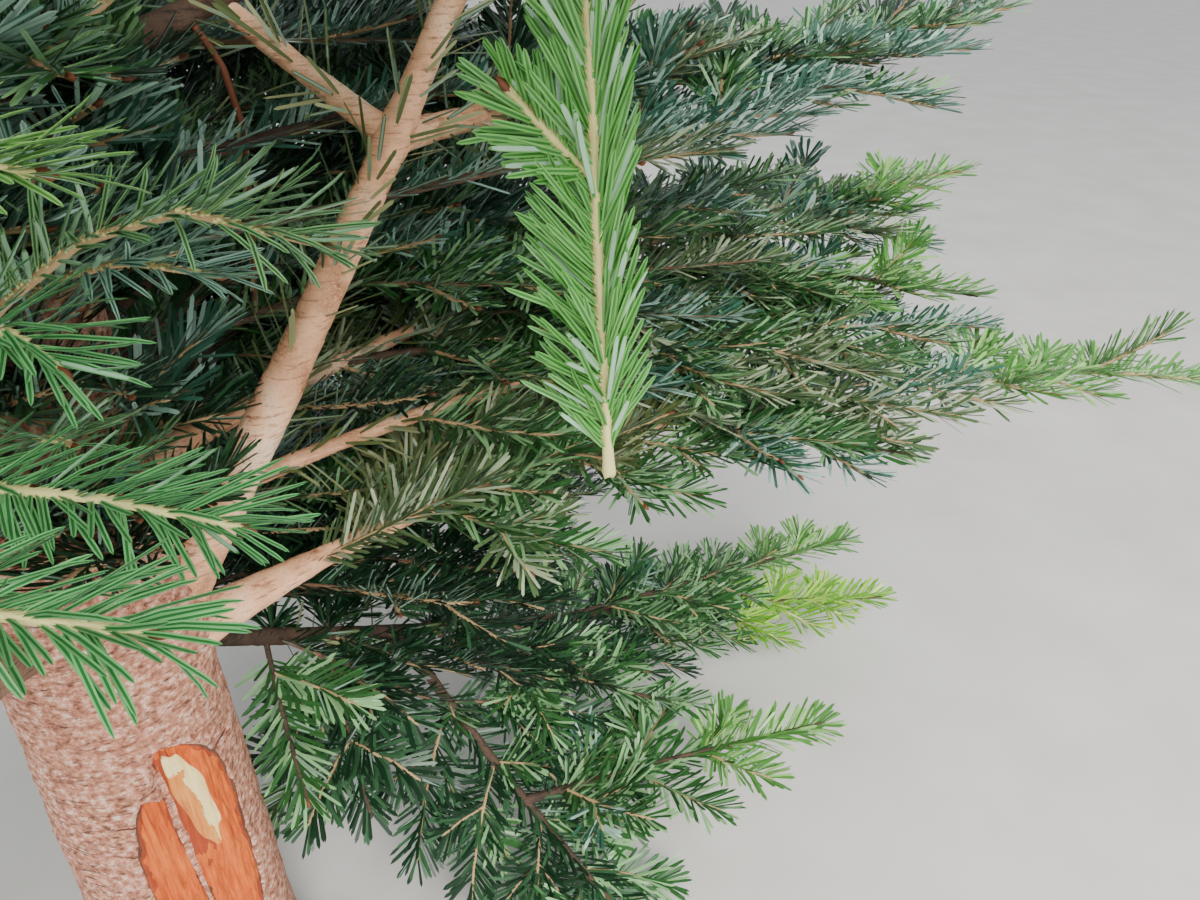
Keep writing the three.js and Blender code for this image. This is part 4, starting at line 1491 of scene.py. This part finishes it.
SCAR_WOODS = [
    wood_material("inner_bark", (118, 38, 8), (208, 84, 18), (244, 136, 54), 0.85),
    wood_material("cut_wood", (232, 176, 92), (255, 226, 148), (255, 242, 192), 0.7),
    wood_material("dark_bark", (58, 34, 24), (96, 60, 42), (124, 82, 58), 0.9),
    wood_material("tan_wood", (170, 76, 24), (222, 128, 50), (248, 180, 94), 0.8),
    wood_material("reddish_bark", (92, 34, 16), (156, 60, 28), (196, 86, 44), 0.9),
]
INNER_BARK, CUT_WOOD, DARK_BARK, TAN_WOOD, REDDISH_BARK = range(5)

# A sheet of rings that follow the pale oval first, and then the outline of the cut.
# Across is u and up is v, both measured over the round of the trunk.
OVAL = {"u": 6.5, "v": 42.0, "wide": 8.0, "high": 37.0, "tilt": 8, "crescent": 1.5, "tan_top": 64}
GROOVE = {"u": -6.5, "v": 60.0, "slope": 0.045, "spread": 2.4, "deep": 3.2, "top": 80, "dark_top": 74}
SCAR_SIDES = 160
OVAL_RINGS = 12
RIM_RINGS = 34
# How far the sheet goes past the outline, and the width of the reddish and of the dark band inside it
PAST_OUTLINE = 1.2
REDDISH_BAND = 2.6
DARK_BAND = 0.6
SCAR_RELIEF = [(0.6, (2.4, 16, 1)), (0.5, (1.3, 5, 1)), (1.0, (12, 20, 1))]


def scar_rings():
    """The rings of the sheet, and the middle and the across direction of the oval."""
    angles = round_angles(SCAR_SIDES)
    tilt = math.radians(OVAL["tilt"])
    across = np.array([math.cos(tilt), math.sin(tilt)])
    oval = np.stack([OVAL["wide"] * np.cos(angles), OVAL["high"] * np.sin(angles)], -1)
    oval *= (1 + 0.08 * np.sin(3 * angles + 1) + 0.06 * np.sin(7 * angles))[:, None]
    oval = oval @ np.array([across, [-math.sin(tilt), math.cos(tilt)]]) + [OVAL["u"], OVAL["v"]]
    angles = np.unwrap(np.arctan2(SCAR["height"] * np.sin(angles), SCAR["width"] * np.cos(angles)))
    rim = np.stack([np.cos(angles), np.sin(angles)], -1)
    rim = rim * (scar_outline(angles) + PAST_OUTLINE)[:, None]
    centre = oval.mean(0)
    rings = [centre + (oval - centre) * max(k / OVAL_RINGS, 0.02) for k in range(OVAL_RINGS + 1)]
    rings += [oval + (rim - oval) * k / RIM_RINGS for k in range(1, RIM_RINGS + 1)]
    return rings, centre, across


def off_groove(points):
    return points[:, 0] - GROOVE["u"] - (GROOVE["v"] - points[:, 1]) * GROOVE["slope"]


def inside_outline(points):
    return scar_outline(np.arctan2(points[:, 1], points[:, 0])) - np.hypot(points[:, 0], points[:, 1])


def flat(points):
    return np.stack([points[:, 0], points[:, 1], 0 * points[:, 0]], -1)


def scar_verts(uv, on_oval):
    height = relief(flat(uv), SCAR_RELIEF, 71)
    height = np.where(on_oval, 0.7 + 0.2 * height, height)
    groove = np.exp(-((off_groove(uv) / GROOVE["spread"]) ** 2)) * ease((GROOVE["top"] - uv[:, 1]) / 16)
    height -= np.where(on_oval, 0, GROOVE["deep"] * groove)
    height += ease((2.2 - inside_outline(uv)) / 3)
    z = SCAR["z"] + uv[:, 1]
    radius = trunk_radius(z)
    turn = math.radians(SCAR["side"]) + uv[:, 0] / radius
    out = np.stack([np.cos(turn), np.sin(turn), 0 * turn], -1)
    return trunk_centre(z) + out * (radius - scar_depth(uv[:, 0]) + height)[:, None]


def scar_kinds(middle, on_oval, beside):
    """Which wood each face of the sheet has, from its middle and its place beside that of the oval."""
    kinds = np.where(on_oval, CUT_WOOD, INNER_BARK)
    ragged = 2.2 * noise(flat(middle), (3, 7, 3), 76)
    tan = (beside < OVAL["crescent"] + ragged) & (middle[:, 1] < OVAL["tan_top"])
    kinds[on_oval & tan] = TAN_WOOD
    near_oval = np.hypot((middle[:, 0] - OVAL["u"] + 4) / 12, (middle[:, 1] - OVAL["v"]) / 44)
    reddish = (near_oval < 1 + 0.1 * ragged) & (beside < 0)
    reddish |= inside_outline(middle) < REDDISH_BAND + 0.8 * ragged
    kinds[~on_oval & reddish] = REDDISH_BARK
    dark = np.abs(off_groove(middle)) < 1.6 + 1.1 * noise(flat(middle), (5, 9, 5), 75)
    dark &= middle[:, 1] < GROOVE["dark_top"]
    dark |= inside_outline(middle) < DARK_BAND
    kinds[~on_oval & dark] = DARK_BARK
    return kinds


rings, oval_centre, oval_across = scar_rings()
uv = np.concatenate(rings)
on_oval = np.repeat(np.arange(len(rings)), SCAR_SIDES) < OVAL_RINGS
quads = ring_quads(len(rings), SCAR_SIDES)
middle = uv[quads].mean(1)
kinds = scar_kinds(middle, on_oval[quads[:, 0]], (middle - oval_centre) @ oval_across)
piece = make_mesh("sawn_scar", scar_verts(uv, on_oval), quads, NO_TRIANGLES, SCAR_WOODS, kinds)
set_piece(piece, ["trunk"])


# Stand

steel = plain("stand_steel", (44, 74, 54), 0.42, Metallic=0.35)
nodes = Nodes(steel)
patches = nodes.noise((30, 30, 30), detail=5)
orange_peel = nodes.noise((420, 420, 420), detail=2)
paint = nodes.ramp(patches, ((0.35, (34, 60, 44)), (0.6, (46, 78, 58))))
rough = nodes.ramp(patches, ((0.3, level(0.34)), (0.7, level(0.5))))
nodes.finish(paint, orange_peel, 0.25, 0.0004, rough)
zinc = plain("screw_steel", (176, 178, 176), 0.32, Metallic=0.95)
nodes = Nodes(zinc)
brushed = nodes.noise((900, 900, 60), detail=4)
streaks = nodes.ramp(brushed, ((0.3, (150, 152, 152)), (0.7, (200, 202, 200))))
nodes.finish(streaks, brushed, 0.2, 0.0003)

CUP_SIDES = 96
LEG_ROWS = 24
LEG_PINCH = 0.16
LEG_BEVEL = 1.4
THREAD = {"pitch": 1.6, "deep": 0.45, "sides": 16, "rings": 128}
HEAD_SIDES = 36


def lathe(profile, sides):
    radius, z = np.array(profile, float).T[:, :, None]
    angles = round_angles(sides)
    verts = np.stack([radius * np.cos(angles), radius * np.sin(angles), z + 0 * angles], -1)
    return verts.reshape(-1, 3), ring_quads(len(profile), sides)


def bevelled(piece, width, segments=3):
    modifier = piece.modifiers.new("bevel", "BEVEL")
    modifier.width = width * METRE
    modifier.segments = segments
    modifier.limit_method = "ANGLE"


def cup_profile():
    """The cup as radius and height, from the middle of its floor over a rolled rim to its underside."""
    inner, outer, top, floor = CUP["inner"], CUP["outer"], CUP["height"], CUP["floor"]
    profile = [(0.5, floor), (inner - 4, floor), (inner - 1, floor + 1), (inner, floor + 4),
               (inner - 0.2, top - 5)]
    profile += [(inner + 0.6 + 1.5 * math.cos(a) + 0.4, top - 1.8 + 1.8 * math.sin(a))
                for a in np.linspace(math.pi, -math.pi / 3, 10)]
    return profile + [(outer - 0.6, top - 6), (outer, top - 8), (outer, 4), (outer - 1.2, 1.2),
                      (outer - 4, 0), (0.5, 0)]


def leg_mesh(side):
    """A leg that narrows outwards, and rests on the floor at its foot."""
    root = CUP["outer"] + 0.1
    end = LEG["reach"]
    half = LEG["width"] / 2
    radial = direction(side, 0)
    across = direction(side + 90, 0)
    verts = []
    for edge in (-1, 1):
        for q in np.linspace(0, 1, LEG_ROWS):
            reach = root + (end - root) * q
            low = np.interp(reach, [root, end - LEG["foot"], end], [LEG["root"], 0, 0])
            top = np.interp(reach, [root, end], [LEG["top"], LEG["tip"]])
            out = math.sqrt(root * root - half * half) if q == 0 else reach
            aside = half * (1 - LEG_PINCH * math.sin(math.pi * q))
            verts += [radial * out + across * edge * aside + UP * z for z in (low, top)]
    faces = []
    for r in range(LEG_ROWS - 1):
        a, b = 2 * r, 2 * (LEG_ROWS + r)
        faces += [(a, a + 2, a + 3, a + 1), (b + 1, b + 3, b + 2, b), (a + 1, a + 3, b + 3, b + 1),
                  (b, b + 2, a + 2, a)]
    a, b = 2 * (LEG_ROWS - 1), 2 * (2 * LEG_ROWS - 1)
    faces += [(a, b, b + 1, a + 1), (0, 1, 2 * LEG_ROWS + 1, 2 * LEG_ROWS)]
    return np.array(verts), np.array(faces)


def screw_mesh(side):
    """A threaded rod that points at the trunk, and its six-sided head."""
    start = float(trunk_radius(SCREW["z"])) - SCREW["sunk"] + 0.3
    radial = direction(side, 0)
    across = direction(side + 90, 0)

    def spot(distance, angle, radius):
        out = across * math.cos(angle) + UP * math.sin(angle)
        return radial * (start + distance) + out * radius + UP * SCREW["z"]

    verts = []
    for d in np.linspace(0, SCREW["length"], THREAD["rings"]):
        for angle in round_angles(THREAD["sides"]):
            thread = THREAD["deep"] * math.cos(2 * math.pi * (d / THREAD["pitch"]) - angle)
            verts.append(spot(d, angle, SCREW["radius"] - THREAD["deep"] + thread))
    rod_quads = ring_quads(THREAD["rings"], THREAD["sides"])
    wide, long = SCREW["head"], SCREW["head_length"]
    profile = [(0, 0), (wide - 1, 0), (wide, 0.9), (wide, long - 1), (wide - 1.4, long),
               (0.2, long - 0.4)]
    head_quads = ring_quads(len(profile), HEAD_SIDES) + len(verts)
    head_start = SCREW["length"] - 1
    flat_side = math.pi / 3
    for r, d in profile:
        for angle in round_angles(HEAD_SIDES):
            from_flat = (angle + flat_side / 2) % flat_side - flat_side / 2
            verts.append(spot(head_start + d, angle, r * math.cos(flat_side / 2) / math.cos(from_flat)))
    return np.array(verts), np.concatenate([rod_quads, head_quads])


piece = make_mesh("cup", *lathe(cup_profile(), CUP_SIDES), NO_TRIANGLES, [steel])
set_piece(piece, ["stand_cup"])
for i, side in enumerate(LEG["sides"]):
    piece = make_mesh(f"leg_{i + 1}", *leg_mesh(side), NO_TRIANGLES, [steel], smooth=False)
    bevelled(piece, LEG_BEVEL)
    set_piece(piece, [f"stand_leg_{i + 1}"])
for i, side in enumerate(SCREW["sides"]):
    piece = make_mesh(f"screw_{i + 1}", *screw_mesh(side), NO_TRIANGLES, [zinc])
    set_piece(piece, [f"stand_screw_{i + 1}"])


# Floor, light and camera

floor_material = plain("floor", (206, 203, 198), 0.8)
nodes = Nodes(floor_material)
grain = nodes.noise((6, 6, 6), detail=6)
nodes.finish(nodes.ramp(grain, ((0.3, (198, 195, 190)), (0.7, (212, 209, 205)))))
FLOOR_SIZE = 14000
corners = FLOOR_SIZE * np.array([(-1, -1, 0), (1, -1, 0), (1, 1, 0), (-1, 1, 0)], float)
floor = make_mesh("floor", corners, np.array([[0, 1, 2, 3]]), NO_TRIANGLES, [floor_material],
                  smooth=False)

world = bpy.data.worlds.new("studio")
bpy.context.scene.world = world
world.use_nodes = True
background = world.node_tree.nodes["Background"]
background.inputs["Color"].default_value = (0.93, 0.96, 1.0, 1.0)
background.inputs["Strength"].default_value = 1.0


def add_light(name, place, aim, size, power, colour):
    """A soft round light, with its place and aim in metres."""
    light = bpy.data.lights.new(name, "AREA")
    light.shape = "DISK"
    light.size = size
    light.energy = power
    light.color = colour
    lamp = bpy.data.objects.new(name, light)
    bpy.context.scene.collection.objects.link(lamp)
    lamp.location = place
    away = np.array(aim, float) - np.array(place, float)
    flat = math.hypot(away[0], away[1])
    lamp.rotation_euler = (math.atan2(flat, -away[2]), 0, math.atan2(-away[0], away[1]))
    lamp.visible_camera = False


add_light("key", (1.6, -2.4, 3.0), (0.2, 0.2, 0.7), 2.2, 160, (1.0, 0.98, 0.95))
add_light("fill", (-2.6, -1.0, 2.0), (0.0, 0.2, 0.8), 2.5, 60, (0.95, 0.98, 1.0))
add_light("reading", (0.55, -1.13, 1.38), (0.25, 0.3, 0.3), 0.7, 34, (1.0, 0.99, 0.97))

camera_data = bpy.data.cameras.new("camera")
camera_data.lens = EYE_LENS
camera_data.sensor_width = EYE_SENSOR
camera_data.clip_start = 0.01
camera = bpy.data.objects.new("camera", camera_data)
bpy.context.scene.collection.objects.link(camera)
camera.location = EYE * METRE
camera.rotation_euler = (math.radians(EYE_TILT), 0, 0)
bpy.context.scene.camera = camera
